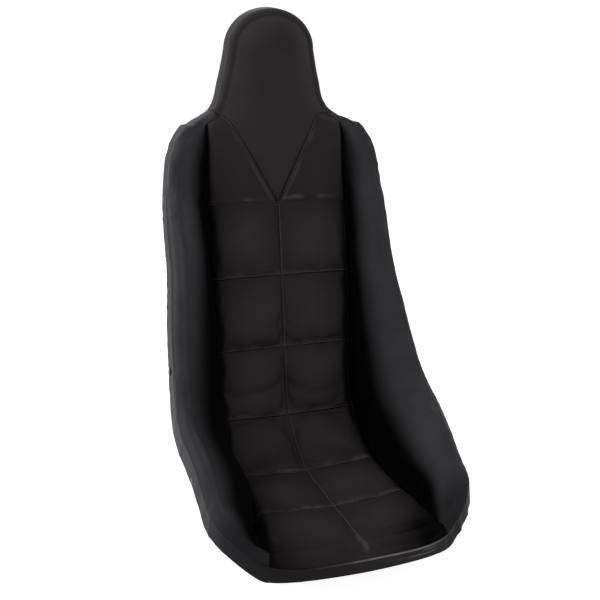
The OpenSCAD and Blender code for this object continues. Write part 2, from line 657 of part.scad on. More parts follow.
// a runner: flat below, and above it runs into the wall of the shell
runner_steps = 16;
function runner_station(t) = mix(lip_y / cos(cushion_rake) - runner_len / 2 / cos(cushion_rake),
                                 s_back, t);
module runner(x) {
    xs = [x - runner_w / 2, x, x + runner_w / 2];
    top = [for (i = [0 : runner_steps]) let (s = runner_station(i / runner_steps))
           [for (p = xs) bed(p, s) - bed_normal(p, s) * shell_wall * 0.6]];
    grid = [for (i = [0 : runner_steps]) [for (k = [0 : 2])
            let (p = top[i][k], y = mix(-runner_len / 2, runner_len / 2, i / runner_steps))
            [[xs[k], y, 0], p - [xs[k], y, 0], 0]]];
    layer(grid, [0, 0], [1, 0]);
}

module seat_shell() {
    color(shell_color) difference() {
        union() {
            layer(shell_grid, [-shell_wall, 0], [0, 0], fold_first = true, fold_last = true);
            for (side = [-1, 1]) runner(side * bolt_pitch_x / 2);
        }
        for (x = [-1, 1]) for (y = [-1, 1])
            translate([x * bolt_pitch_x / 2, y * bolt_pitch_y / 2, -1])
                cylinder(h = insert_len + 2, d = insert_d);
        each_snap() translate([0, 0, -shell_wall - 2])
            cylinder(h = shell_wall + 4, d = snap_screw_d + 2 * fit / 3);
    }
}

module base_inserts() {
    color(metal_color) for (x = [-1, 1]) for (y = [-1, 1])
        translate([x * bolt_pitch_x / 2, y * bolt_pitch_y / 2, 0]) difference() {
            cylinder(h = insert_len, d = insert_d);
            translate([0, 0, -1]) cylinder(h = insert_len + 2, d = bolt_d);
        }
}

seat_shell();
base_inserts();
seat_foam();
back_foam();
headrest_foam();
gusset_foam_left();
gusset_foam_right();
bolster_foam_left();
bolster_foam_right();
quilted_panel();
headrest_panel();
shoulder_gusset_left();
shoulder_gusset_right();
bolster_cover_left();
bolster_cover_right();
front_band();
side_band_left();
side_band_right();
headrest_band();
headrest_rear_panel();
rim_piping();
hem_elastic();
snap_caps();
snap_sockets();
snap_studs();
stud_screws();
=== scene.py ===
"""Looks of the high-back bucket seat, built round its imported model.

All work is done in millimetres and written to Blender in metres. The seat faces -Y, +X is the
sitter's left, +Z is up. Every soft layer is measured from one surface, the inner face of the
shell. A place on it is (x, s), sideways and along the spine from the front lip, or (v, u): v runs
once round the rim of one half (0 front middle, 1 to 2 the side, 3 headrest top) and u goes from the
spine (0) over the start (1) and the end (2) of the rim roll to the edge of the flange (3).
"""

import math

import bmesh
import bpy
import numpy as np
from mathutils import Matrix, Vector


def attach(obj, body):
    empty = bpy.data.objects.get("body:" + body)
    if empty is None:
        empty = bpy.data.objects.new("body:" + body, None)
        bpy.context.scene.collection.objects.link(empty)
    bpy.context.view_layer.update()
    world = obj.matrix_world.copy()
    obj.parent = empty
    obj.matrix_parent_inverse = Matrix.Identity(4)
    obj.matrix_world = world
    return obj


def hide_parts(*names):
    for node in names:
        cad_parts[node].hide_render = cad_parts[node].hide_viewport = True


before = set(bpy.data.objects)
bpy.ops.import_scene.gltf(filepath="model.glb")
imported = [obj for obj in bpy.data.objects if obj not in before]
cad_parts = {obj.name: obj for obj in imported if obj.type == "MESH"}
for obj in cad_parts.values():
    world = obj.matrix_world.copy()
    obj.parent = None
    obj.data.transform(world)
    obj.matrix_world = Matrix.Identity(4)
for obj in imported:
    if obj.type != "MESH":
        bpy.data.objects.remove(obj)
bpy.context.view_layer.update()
MM = 0.001

# ---- profile of the bucket ----
CUSHION_LEN = 260.0
CUSHION_RAKE = 11.5
BIGHT_R = 195.0
RECLINE = 19.0
BACK_LEN = 570.0
HEAD_TILT = 10.0
NECK_R = 300.0
HEAD_LEN = 147.0
LIP_Y = -325.0
LIP_Z = 77.0
BIGHT_LEN = BIGHT_R * math.radians(90 - RECLINE + CUSHION_RAKE)
NECK_LEN = NECK_R * math.radians(HEAD_TILT)
S_BACK = CUSHION_LEN + BIGHT_LEN
S_NECK = S_BACK + BACK_LEN
S_TOP = S_NECK + NECK_LEN + HEAD_LEN

# ---- plan of the rim ----
FRONT_CAP = 105.0
FRONT_ROUND = 2.4
LIP_REACH = 5.0
HEAD_CAP = 69.0
HUB_FRONT = 60.0
HUB_HEAD = 25.0
S_FRONT = FRONT_CAP - LIP_REACH
S_CAP = S_TOP - HEAD_CAP
RIM_R = 9.0
SHELL_WALL = 5.0
FLOOR_FRONT = 166.0
FLOOR_DISH = 12.0
LIP_RISE = 15.0

RIM_KEYS = [(S_FRONT, 238), (S_FRONT + 90, 242), (330, 250), (S_BACK + 0.19 * BACK_LEN, 236),
            (S_BACK + 0.45 * BACK_LEN, 222), (S_BACK + 0.71 * BACK_LEN, 218), (S_NECK - 45, 188.6),
            (S_NECK + 5, 115), (S_NECK + 70, 91), (S_CAP, 78)]
RISE_KEYS = [(0, 44.4), (S_FRONT, 74), (S_FRONT + 90, 123), (330, 164), (480, 154),
             (S_BACK + 0.19 * BACK_LEN, 100), (S_BACK + 0.45 * BACK_LEN, 65),
             (S_BACK + 0.71 * BACK_LEN, 30), (S_NECK - 30, 12), (S_NECK + 30, 5)]
FLOOR_KEYS = [(0, FLOOR_FRONT), (150, 159), (330, 159), (480, 152), (S_BACK + 0.4 * BACK_LEN, 155),
              (S_BACK + 0.8 * BACK_LEN, 148), (S_NECK, 145)]


def side_v(s):
    return 1 + (s - S_FRONT) / (S_CAP - S_FRONT)


FLANGE_KEYS = [(0, 31), (0.7, 29), (1.1, 38), (side_v(S_NECK - 60), 38), (side_v(S_NECK + 30), 28),
               (3, 28)]
FLARE_KEYS = [(0, 5), (side_v(S_NECK - 60), 5), (side_v(S_NECK + 30), 3), (3, 3)]

# ---- padding and cover ----
FIT = 0.3
VINYL = 1.5
SKIN = 2 * FIT + VINYL                # from the foam's thickness to the cover's outer face
PAD_T = 21.0
CHANNEL_DEPTH = 7.0
CROWN_POWER = 0.3                     # a low power gives a square a flat middle and steep sides
VALLEY_T = 4.0
EDGE_POWER = 30                       # a high power keeps the pad level up to its edges
BOLSTER_BULGE = 40.0
WALL_START = 0.18                     # the bolster is thin up to here, at the bottom of the valley
HEAD_PAD_T = 34.0
RIM_PAD_T = 3.0
LIP_DROP = 6.0                        # the pad's sides thin by this as it turns over the lip
LIP_TAPER = 45.0
BAND_FACE = FIT + RIM_PAD_T + FIT + VINYL
V_GROOVE = 4.0
V_RIDGE = 10.0                        # the ridge outside the groove, from the V's seam
V_RIDGE_W = 3.5
ROW_PITCH = 158.0
ROWS = 6
V_LEN = 182.0
V_HALF = 102.0
V_LEAN = 10.0                         # the V's top stands this far toward -X
VALLEY_GAP = 2.0
SEAM_GAP = 1.0
CORNER_GAP = 1.0
NECK_GAP = 1.5
HOOD_MOUTH = 20.0
PIPING_R = 1.8
WELT_KEYS = [(0, PIPING_R), (0.5, PIPING_R), (0.75, 0.6), (3, 0.6)]
ELASTIC_R = 1.6
SEAM_KEYS = [(0, 2.4), (0.3, 2.4), (0.5, 2.15), (0.8, 2), (1.2, 2.05), (1.8, 2.4), (3, 2.4)]
HEM = 2 * ELASTIC_R + 2 * FIT + 1
RUNNER_W = 44.0
RUNNER_LEN = 380.0
BOLT_PITCH_X = 236.0
BOLT_PITCH_Y = 290.0
INSERT_R = 7.0
INSERT_LEN = 20.0
RUNNER_EDGE = 3.0
RUNNER_SINK = 0.6 * SHELL_WALL        # the runner's top lies this deep in the shell's wall
S_APEX = S_NECK - V_LEN
S_FIRST = S_APEX - (ROWS - 1) * ROW_PITCH
FRONT_LIMIT = 0.995                   # the valley's share of the rim's width, at most, at the front
NECK_LIMIT = 0.97                     # and at the neck


# ---- helpers ----
def mix(a, b, t):
    return a + (b - a) * t


def ease(t):
    t = np.clip(t, 0, 1)
    return t * t * (3 - 2 * t)


def bump(distance, width):
    """1 at the middle, falling off to 0 over about twice the width."""
    return np.exp(-(distance / width) ** 2)


def unit(p):
    return p / np.linalg.norm(p, axis=-1, keepdims=True)


def curve(keys, s):
    """A smooth curve through (station, value) pairs."""
    k, value = np.array(keys, float).T
    s = np.clip(s, k[0], k[-1])
    slope = np.empty(len(k))
    slope[0] = (value[1] - value[0]) / (k[1] - k[0])
    slope[-1] = (value[-1] - value[-2]) / (k[-1] - k[-2])
    slope[1:-1] = (value[2:] - value[:-2]) / (k[2:] - k[:-2])
    i = np.clip(np.searchsorted(k, s, side="right") - 1, 0, len(k) - 2)
    d = k[i + 1] - k[i]
    t = (s - k[i]) / d
    return ((2 * t**3 - 3 * t**2 + 1) * value[i] + (t**3 - 2 * t**2 + t) * d * slope[i]
            + (3 * t**2 - 2 * t**3) * value[i + 1] + (t**3 - t**2) * d * slope[i + 1])


def wave_noise(x, y, size, seed):
    """Smooth noise from -1 to 1 over a plane, with features of that size."""
    table = np.random.RandomState(seed).uniform(-1, 1, (64, 64))
    gx, gy = np.asarray(x) / size + 17.3, np.asarray(y) / size + 5.7
    ix, iy = np.floor(gx).astype(int), np.floor(gy).astype(int)
    tx, ty = ease(gx - ix), ease(gy - iy)
    def at(a, b):
        return table[(ix + a) % 64, (iy + b) % 64]
    return mix(mix(at(0, 0), at(1, 0), tx), mix(at(0, 1), at(1, 1), tx), ty)


# ---- the surface that every layer is measured from ----
def spine_stretches():
    """(station, y, z, heading, curvature) where each stretch of the spine begins."""
    found, s, y, z, heading = [], 0.0, LIP_Y, LIP_Z, math.radians(-CUSHION_RAKE)
    for length, turn in ((CUSHION_LEN, 0), (BIGHT_LEN, 90 - RECLINE + CUSHION_RAKE), (BACK_LEN, 0),
                         (NECK_LEN, HEAD_TILT), (HEAD_LEN, 0)):
        bend = math.radians(turn) / length
        found.append((s, y, z, heading, bend))
        after = heading + bend * length
        if bend:
            y += (math.sin(after) - math.sin(heading)) / bend
            z -= (math.cos(after) - math.cos(heading)) / bend
        else:
            y += length * math.cos(heading)
            z += length * math.sin(heading)
        s, heading = s + length, after
    return found


STRETCHES = spine_stretches()


def spine(s):
    s = np.asarray(s, float)
    y, z = np.zeros_like(s), np.zeros_like(s)
    for i, (start, y0, z0, heading, bend) in enumerate(STRETCHES):
        d = s - start
        after = heading + bend * d
        if bend:
            y1 = y0 + (np.sin(after) - math.sin(heading)) / bend
            z1 = z0 - (np.cos(after) - math.cos(heading)) / bend
        else:
            y1, z1 = y0 + d * math.cos(heading), z0 + d * math.sin(heading)
        here = (d >= 0) | (i == 0)
        y, z = np.where(here, y1, y), np.where(here, z1, z)
    return y, z


def rib(s):
    """The direction in which heights are measured at a station, in radians."""
    start, end = 20.0, S_BACK + 0.51 * BACK_LEN
    turn = mix(90 - CUSHION_RAKE, 180 - RECLINE, ease((s - start) / (end - start)))
    return np.radians(turn + HEAD_TILT * np.clip((s - S_NECK) / NECK_LEN, 0, 1))


def place(x, s, h):
    y, z = spine(s)
    a = rib(s)
    return np.stack(np.broadcast_arrays(x, y + h * np.cos(a), z + h * np.sin(a)), -1)


def rim_half(s):
    return curve(RIM_KEYS, s)


def rim_rise(s):
    return curve(RISE_KEYS, s)


def floor_half(s):
    return curve(FLOOR_KEYS, s)


def ramp(q):
    knee = 0.25
    q = np.maximum(q, 0)
    return (np.sqrt(q * q + knee * knee) - knee) / (math.sqrt(1 + knee * knee) - knee)


def lip_curl(s):
    """How far the front lip rises above the line of the cushion."""
    return LIP_RISE * np.clip((25 - s) / (25 + LIP_REACH), 0, 2) ** 2


def height(x, s):
    f = floor_half(s)
    w = np.maximum(rim_half(s), f + 30)
    dish = FLOOR_DISH * (1 - 0.7 * ease((s - S_NECK + 60) / 120))
    return (dish * np.clip(np.abs(x) / f, 0, 1) ** 2 + lip_curl(s)
            + rim_rise(s) * ramp((np.abs(x) - f) / (w - f)))


def bed(x, s):
    return place(x, s, height(x, s))


def bed_normal(x, s):
    return unit(np.cross(bed(x + 1, s) - bed(x - 1, s), bed(x, s + 1) - bed(x, s - 1)))


def edge(v):
    """The rim's x, s and outward direction in the plan, for 0 <= v <= 3."""
    a, n = float(rim_half(S_FRONT)), FRONT_ROUND
    turn = np.radians(90 * np.clip(v, 0, 1))
    cx, cs = np.sin(turn) ** (2 / n), np.maximum(np.cos(turn), 0) ** (2 / n)
    front = (a * cx, S_FRONT - FRONT_CAP * cs, cx ** (n - 1) / a, -cs ** (n - 1) / FRONT_CAP)
    s = mix(S_FRONT, S_CAP, np.clip(v - 1, 0, 1))
    side = (rim_half(s), s, np.ones_like(s), -(rim_half(s + 2) - rim_half(s - 2)) / 4)
    b = float(rim_half(S_CAP))
    turn = np.radians(90 * np.clip(v - 2, 0, 1))
    cx, cs = np.maximum(np.cos(turn), 0), np.sin(turn)
    head = (b * cx, S_CAP + HEAD_CAP * cs, cx / b, cs / HEAD_CAP)
    x, s, nx, ns = (np.where(v <= 1, f, np.where(v < 2, m, h)) for f, m, h in zip(front, side, head))
    length = np.hypot(nx, ns)
    return x, s, nx / length, ns / length


def spoke(v, u):
    """x and s on the spoke from the spine to the rim."""
    x, s, _, _ = edge(v)
    hub = np.where(v < 1, S_FRONT - (1 - v) * HUB_FRONT, np.where(v > 2, S_CAP + (v - 2) * HUB_HEAD, s))
    u = np.clip(u, 0, 1)
    return x * u, mix(hub, s, u)


def half_of(v):
    return np.where(v < 0, -v, np.where(v > 3, 6 - v, v))


def side_of(v):
    return np.where((v < 0) | (v > 3), -1.0, 1.0)


def face_point(v, u):
    v, u = np.broadcast_arrays(np.asarray(v, float), np.asarray(u, float))
    side, v = side_of(v), half_of(v)
    _, _, nx, ns = edge(v)
    px, ps = spoke(v, u)
    h = height(px, ps)
    up = np.arctan((height(px + nx, ps + ns) - height(px - nx, ps - ns)) / 2)
    down = np.radians(curve(FLARE_KEYS, v) - 90)
    a = mix(up, down, np.clip(u - 1, 0, 1))
    length = np.maximum(u - 2, 0) * flange(v)
    out = RIM_R * (np.sin(up) - np.sin(a)) + length * np.cos(down)
    rise = RIM_R * (np.cos(a) - np.cos(up)) + length * np.sin(down)
    p = place(px + nx * out, ps + ns * out, h + rise)
    p[..., 0] *= side
    return p


def face_normal(v, u):
    v, u = np.broadcast_arrays(np.asarray(v, float), np.asarray(u, float))
    d = 0.004
    roll = np.cross(face_point(v, u + d) - face_point(v, np.maximum(u - d, 0)),
                    face_point(v + d, u) - face_point(v - d, u))
    flat = bed_normal(*spoke(half_of(v), u))
    flat[..., 0] *= side_of(v)
    return unit(np.where((u < 1)[..., None], flat, roll + 1e-9 * flat))


# ---- seams ----
def flange(v):
    """Depth of the flange at v, on either half of the rim."""
    return curve(FLANGE_KEYS, half_of(v))


def welt_r(v):
    """Radius of the piping: full along the front lip, and flat under the cover elsewhere."""
    return curve(WELT_KEYS, half_of(v))


def slot(v):
    """Half the width, in u, of the slot in which the piping lies."""
    return (welt_r(v) + FIT) / flange(v)


def seam_u(v):
    return curve(SEAM_KEYS, half_of(v))


def inner_seam(v):
    return seam_u(v) - slot(v)


def outer_seam(v):
    return seam_u(v) + slot(v)


def valley_u(v):
    x, s, _, _ = edge(v)
    return np.minimum(np.where(v < 1, FRONT_LIMIT, NECK_LIMIT), floor_half(s) / np.maximum(x, 1))


def valley_x(s):
    return np.minimum(floor_half(s), NECK_LIMIT * rim_half(s)) - VALLEY_GAP / 2


CORNER_W = float(rim_half(S_FRONT))
V_CORNER = math.degrees(math.asin((FLOOR_FRONT / FRONT_LIMIT / CORNER_W) ** (FRONT_ROUND / 2))) / 90
V_SHOULDER = side_v(S_NECK - NECK_GAP)
V_NECK = side_v(S_NECK)
V_HOOD = side_v(S_NECK + HOOD_MOUTH)


def crown(t):
    return np.maximum(np.sin(np.pi * np.clip(t, 0, 1)), 0) ** CROWN_POWER


def front_s(x):
    a = np.clip(np.abs(x) / CORNER_W, 0, 1) ** FRONT_ROUND
    return S_FRONT - FRONT_CAP * (1 - a) ** (1 / FRONT_ROUND)


def front_v(x):
    a = (np.abs(x) / CORNER_W) ** (FRONT_ROUND / 2)
    return np.sign(x) * np.degrees(np.arcsin(a)) / 90


def row_part(x, s):
    t = (S_APEX - s) / ROW_PITCH
    return np.where(s < S_FIRST, (S_FIRST - s) / (S_FIRST - front_s(x)), t - np.floor(t))


def flat_pad(x, s):
    """Thickness of the pad between the valleys, without its seams: level, with crisp edges."""
    a = np.clip(np.abs(x) / valley_x(s), 0, 1)
    return VALLEY_T + (PAD_T - VALLEY_T) * (1 - a ** EDGE_POWER)


def head_pad(u):
    return RIM_PAD_T + (HEAD_PAD_T - RIM_PAD_T) * (1 - np.minimum(u, 1) ** 2.5)


def shoulder_pad(x, s):
    """From the first channel up to the neck the level pad turns into the rounded one."""
    k = ease((s - S_APEX) / V_LEN)
    return mix(flat_pad(x, s), head_pad(np.abs(x) / rim_half(s)), k)


def v_edge(s, side):
    """Distance of the V's seam from the middle, on the side +1 or -1."""
    return (V_HALF - V_LEAN * side) * (s - S_APEX) / V_LEN


def v_seam(x, s, side):
    """Depth of the groove along the V, which fades toward the neck, and the ridge outside it."""
    away = (np.abs(x) - v_edge(s, side)) * math.cos(math.atan(V_HALF / V_LEN))
    fade = 1 - 0.8 * ease((s - S_APEX) / V_LEN * 1.3 - 0.3)
    groove = V_GROOVE * bump(away, V_RIDGE_W) + 1.5 * np.exp(-np.abs(away) / 12)
    ridge = 1.6 * bump(away - V_RIDGE, V_RIDGE_W) * (0.6 + wave_noise(s, 0 * s, 23, 5))
    return (groove - ridge) * fade


def panel_pad(x, s):
    """Thickness of the quilted pad, with its crowns and sewn channels."""
    a = np.clip(np.abs(x) / valley_x(s), 0, 1)
    side = flat_pad(x, s)
    sewn = CHANNEL_DEPTH * (1 - crown(np.minimum(a, 0.5)) * crown(row_part(x, s)))
    low = lip_curl(s) + LIP_DROP * a ** 4 * ease(1 - (s - front_s(x)) / LIP_TAPER)
    part = row_part(x, s)
    across = np.where(part > 0.5, 1 - part, -part) * ROW_PITCH
    row = np.round((S_APEX - s) / ROW_PITCH)
    drawn = pucker(across, x + 71 * row, 41, 0.9) + pucker(x, s, 47, 0.5)
    drawn = drawn + pucker((1 - a) * valley_x(s), s + 500 * np.sign(x), 53, 0.6)
    return np.maximum(side - sewn - low, VALLEY_T) + drawn


# ---- wrinkles ----
RIM_V = np.linspace(0, 3, 901)
RIM_LENGTH = np.concatenate([[0], np.cumsum(np.linalg.norm(
    np.diff(face_point(RIM_V, np.full_like(RIM_V, 2.0)), axis=0), axis=1))])


def rim_length(v):
    """Distance along the rim from the front middle, below 0 on the -X side."""
    return side_of(v) * np.interp(half_of(v), RIM_V, RIM_LENGTH)


def gather(v, u):
    """How far the loose cover stands off the rim and the flange, in folds that run toward the hem."""
    along = rim_length(v)
    lean = along + 9 * wave_noise(along, 0 * along, 60, 31) * (u - 2)
    folds = 1 - 1.6 * np.abs(wave_noise(lean, 0.6 * u, 21, 11))
    broad = wave_noise(along, 0 * along, 75, 3)
    half = half_of(v)
    where = ease((half - 0.1) / 0.3) * (1 - 0.6 * ease((half - V_NECK) / 0.1)) * ease((2.95 - half) / 0.4)
    crumpled = 1 + 1.5 * bump(v - 0.6, 0.18)
    return ease((u - 1.25) / 1.4) * (0.35 + (1.0 * folds * crumpled + 1.3 * broad) * where)


def pucker(distance, along, seed, strength=0.5, size=5.0, reach=7.0):
    """Small puckers that a row of stitches draws up on both sides of it."""
    wave = wave_noise(along, 0.15 * distance, size, seed)
    patchy = 0.5 + 0.5 * wave_noise(along, 0 * along, 45, seed + 1)
    return strength * patchy * wave * np.exp(-np.abs(distance) / reach) * np.minimum(np.abs(distance) / 2, 1)


# ---- patches of the cover: a grid of parameters and the frames there ----
class Patch:
    """One sewn piece: rows and columns of parameters, and a function that gives points, normals and
    the height of the cover's outer face above the shell there."""

    def __init__(self, name, rows, cols, frames, pins, shade=None, flip=False, fold=False):
        self.name, self.rows, self.cols, self.frames, self.pins = name, rows, cols, frames, pins
        self.shade, self.flip, self.fold = shade, flip, fold
        self.push = None

    def grid(self, times=1):
        rows, cols = finer(self.rows, times), finer(self.cols, times)
        return np.meshgrid(rows, cols, indexing="ij")

    def top(self, times=1):
        points, normals, high = self.frames(*self.grid(times))
        return points + normals * high[..., None]

    def finished(self):
        top = self.top(TIMES)
        return top if self.push is None else top + self.push

    def at(self, row, col):
        """Points of the finished top at the given rows and columns."""
        i, j = (np.interp(at, finer(values, TIMES), np.arange((len(values) - 1) * TIMES + 1))
                for at, values in ((row, self.rows), (col, self.cols)))
        return sample(self.finished(), i, j)

    def base(self):
        points, normals, _ = self.frames(*self.grid(TIMES))
        return points + normals * FIT


def sample(grid, i, j):
    """Values between the points of a grid, at fractional rows i and columns j."""
    i0, j0 = np.minimum(i.astype(int), len(grid) - 2), np.minimum(j.astype(int), len(grid[0]) - 2)
    a, b = (i - i0)[..., None], (j - j0)[..., None]
    near = mix(grid[i0, j0], grid[i0, j0 + 1], b)
    return mix(near, mix(grid[i0 + 1, j0], grid[i0 + 1, j0 + 1], b), a)


def finer(values, times):
    """The same parameters with more steps between them."""
    at = np.arange((len(values) - 1) * times + 1) / times
    return np.interp(at, np.arange(len(values)), values)


def steps(a, b, n, close=0.0):
    """n steps from a to b; close, from 0 to 1, draws them toward both ends."""
    t = np.arange(n) / n
    return mix(a, b, t - close * np.sin(2 * np.pi * t) / (2 * np.pi))


CELL = 24                             # steps across one quilted square, before refinement
TIMES = 2                             # the finished grids are this many times finer
CLOSE = 0.6
TUCK = 3.5                            # the fold where the middle seam meets the front lip
TUCK_W = 4.5


def panel_rows():
    """-1 to 0 is the roll over the lip, 0 to 1 the lip row, then one unit for each square."""
    lip = np.concatenate([steps(-1, 0, 14), steps(0, 1, CELL, CLOSE)])
    return np.concatenate([lip] + [steps(i, i + 1, CELL, CLOSE) for i in range(1, ROWS)] + [[ROWS]])


def panel_frames(row, col):
    roll, lip = row < 0, row < 1
    s_main = S_FIRST + (row - 1) * ROW_PITCH
    widen = FLOOR_FRONT / FRONT_LIMIT - FLOOR_FRONT - CORNER_GAP + VALLEY_GAP
    x_lip = col * (FLOOR_FRONT - VALLEY_GAP + widen * ease(1 - row / 0.08))
    x = np.where(lip, x_lip, col * valley_x(s_main))
    s = np.where(lip, mix(front_s(x_lip), S_FIRST, np.clip(row, 0, 1)), s_main)
    points, normals, high = bed(x, s), bed_normal(x, s), panel_pad(x, s)
    v = front_v(x_lip)
    u = mix(1, inner_seam(v), np.clip(-row, 0, 1))
    over, over_normal = face_point(v, u), face_normal(v, u)
    take = roll[..., None]
    edge_folds = pucker((inner_seam(v) - u) * flange(v), rim_length(v), 61, 1.4, 8, 9)
    high = np.where(roll, mix(high, RIM_PAD_T + edge_folds, np.clip(-row, 0, 1) ** 1.7), high)
    high = high + TUCK * bump(x_lip, TUCK_W) * ease((row + 0.7) / 0.3) * ease((0.35 - row) / 0.25)
    return np.where(take, over, points), np.where(take, over_normal, normals), high + SKIN


def panel_pins(row, col):
    on_row = (np.abs(row - np.round(row)) < 1e-6) & (row > 0.5)
    return on_row | (np.abs(col) < 1e-6) | (np.abs(col) > 1 - 1e-6) | (row < -0.7)


V_COL, RIM_COL = 0.8, 0.9             # columns of the V's edge and of the start of the rim roll


def head_frames(row, col):
    """0 to 1 is the V up to the neck, 1 to 2 the step to the full width, then v from the neck on."""
    t = np.clip(row, 0.015, 1) * (1 - NECK_GAP / V_LEN)
    s = S_APEX + t * V_LEN
    c = np.abs(col)
    flip = np.where(col < 0, -1.0, 1.0)
    x = flip * np.minimum(c / V_COL, 1) * (v_edge(s, flip) - SEAM_GAP / 2)
    low, low_normal = bed(x, s), bed_normal(x, s)
    low_high = shoulder_pad(x, s) - v_seam(x, s, flip)
    v = V_NECK + np.maximum(row - 2, 0)
    top_u = v_edge(S_NECK - NECK_GAP, flip) / float(rim_half(S_NECK))
    u = np.where(c < V_COL, top_u * c / V_COL, mix(top_u, 1, (c - V_COL) / (RIM_COL - V_COL)))
    u = np.where(c > RIM_COL, mix(1, inner_seam(v), (c - RIM_COL) / (1 - RIM_COL)), u)
    high_point, high_normal = face_point(v, u), face_normal(v, u)
    high_point[..., 0] *= flip
    high_normal[..., 0] *= flip
    high_high = head_pad(u) + gather(np.where(col < 0, -v, v), u)
    k = ease(row - 1)
    points = mix(low, high_point, k[..., None])
    normals = unit(mix(low_normal, high_normal, k[..., None]))
    return points, normals, mix(low_high, high_high, k) + SKIN


def gusset_frames(row, col, side):
    s = S_APEX + np.maximum(SEAM_GAP, row * (V_LEN - NECK_GAP))
    near, far = v_edge(s, side) + SEAM_GAP / 2, valley_x(s)
    x = mix(near, far, col)
    sewn = CHANNEL_DEPTH * (1 - crown(np.clip((s - S_APEX) / ROW_PITCH, 0, 0.5)))
    drawn = pucker(s - S_APEX, x, 41, 0.9) + pucker(far - x, s, 53, 0.6)
    drawn = drawn + pucker(x - near, s, 59, 0.7)
    return bed(x, s), bed_normal(x, s), shoulder_pad(x, s) - v_seam(x, s, side) - sewn + drawn + SKIN


def bolster_frames(v, c, side):
    x, s, _, _ = edge(v)
    low = valley_u(v) + VALLEY_GAP / 2 / x
    u = np.where(c <= 1, mix(low, 1, c), mix(1, inner_seam(v), c - 1))
    q = np.minimum(c, 1)
    full = (np.clip(rim_rise(s) / 100, 0.25, 1) ** 1.2 * ease((1 - low) * x / 60)
            * ease((v - V_CORNER) / (1 - V_CORNER)))
    swell = np.sin(np.pi * np.clip((q - WALL_START) / (1 - WALL_START), 0, 1))
    high = mix(VALLEY_T, RIM_PAD_T, q) + BOLSTER_BULGE * swell * full + gather(side * v, u)
    return face_point(v, u), face_normal(v, u), high + SKIN


def band_frames(v, c, side):
    u = mix(outer_seam(v), 3 + HEM / flange(v), c)
    return face_point(v, u), face_normal(v, u), BAND_FACE + gather(side * v, u)


def edges_pinned(row, col):
    border = np.zeros(row.shape, bool)
    border[0], border[-1], border[:, 0], border[:, -1] = True, True, True, True
    return border


def sides_pinned(row, col):
    border = edges_pinned(row, col)
    border[-1] = False
    return border


def make_patches():
    cols = np.concatenate([steps(-1, 0, CELL, CLOSE), steps(0, 1, CELL, CLOSE), [1]])
    patches = [Patch("quilted_pad", panel_rows(), cols, panel_frames, panel_pins, panel_shade)]
    head_rows = np.concatenate([steps(0, 1, 28), steps(1, 2, 4), steps(2, 2 + 2 - V_NECK, 22),
                                steps(4 - V_NECK, 5 - V_NECK, 20), [5 - V_NECK]])
    half_cols = np.concatenate([steps(0, V_COL, 24, 0.4), steps(V_COL, RIM_COL, 5),
                                steps(RIM_COL, 1, 8), [1]])
    head_cols = np.concatenate([-half_cols[:0:-1], half_cols])
    patches.append(Patch("headrest_pad", head_rows, head_cols, head_frames, sides_pinned, fold=True))
    side_rows = np.concatenate([steps(V_CORNER, 1, 20), steps(1, V_SHOULDER, 176), [V_SHOULDER]])
    bolster_cols = np.concatenate([steps(0, 1, 24), steps(1, 2, 12), [2]])
    for side, flip, name in ((1, False, "left"), (-1, True, "right")):
        patches.append(Patch(
            f"shoulder_gusset_pad_{name}", np.append(steps(0, 1, 34), 1), np.append(steps(0, 1, 20, 0.4), 1),
            lambda row, col, side=side: gusset_frames(row, col, side), edges_pinned, gusset_shade, flip))
        patches.append(Patch(
            f"bolster_pad_{name}", side_rows, bolster_cols,
            lambda v, c, side=side: bolster_frames(v, c, side), edges_pinned, bolster_shade, flip))
    return {patch.name: patch for patch in patches}


# ---- painted shade and painted highlights on the vinyl: 0 is its own colour, 1 is black, and below 0 it is lighter ----
WALL_DARK = {                         # where the painted shade on the bolster starts to lift, as (v, column); True is -X
    False: [(0, 0.1), (0.6, 0.15), (0.8, 0.26), (0.95, 0.43), (1.1, 0.55), (1.4, 0.56), (1.55, 0.42),
            (1.65, 0.27), (1.85, 0), (2, -0.1)],
    True: [(0, 0.5), (0.8, 0.7), (1, 0.8), (1.4, 0.77), (1.55, 0.69), (1.65, 0.52), (1.75, 0.25),
           (1.85, 0), (2, -0.1)]}
WALL_FADE = {                         # and over how many columns
    False: [(0, 0.6), (1, 0.4), (1.4, 0.35), (1.6, 0.55), (1.8, 0.75), (2, 0.8)],
    True: [(0, 0.5), (0.8, 0.33), (1.5, 0.32), (1.65, 0.45), (1.8, 0.75), (2, 0.8)]}
WALL_PAINTED_SHADE = 0.94                      # painted shade at the bottom of the bolster's inner wall
EDGE_PAINTED_SHADE = 0.87                      # painted shade at the edges of the quilted pad
JOIN_PAINTED_SHADE = 0.45                      # painted shade of a side band where it meets the darker front band
HIGHLIGHT_REACH = 190.0                    # a painted highlight on the piping reaches this far to both sides of
HIGHLIGHT_MIDDLE = 70.0                    # this place along the rim


def bolster_shade(v, c, right):
    """Painted shade: nearly black at the bottom of the inner wall, and dim at the front tip."""
    lit = ease((c - curve(WALL_DARK[right], v)) / curve(WALL_FADE[right], v))
    return WALL_PAINTED_SHADE * (1 - lit * mix(0.45, 1, ease((v - 0.6) / 0.5)))


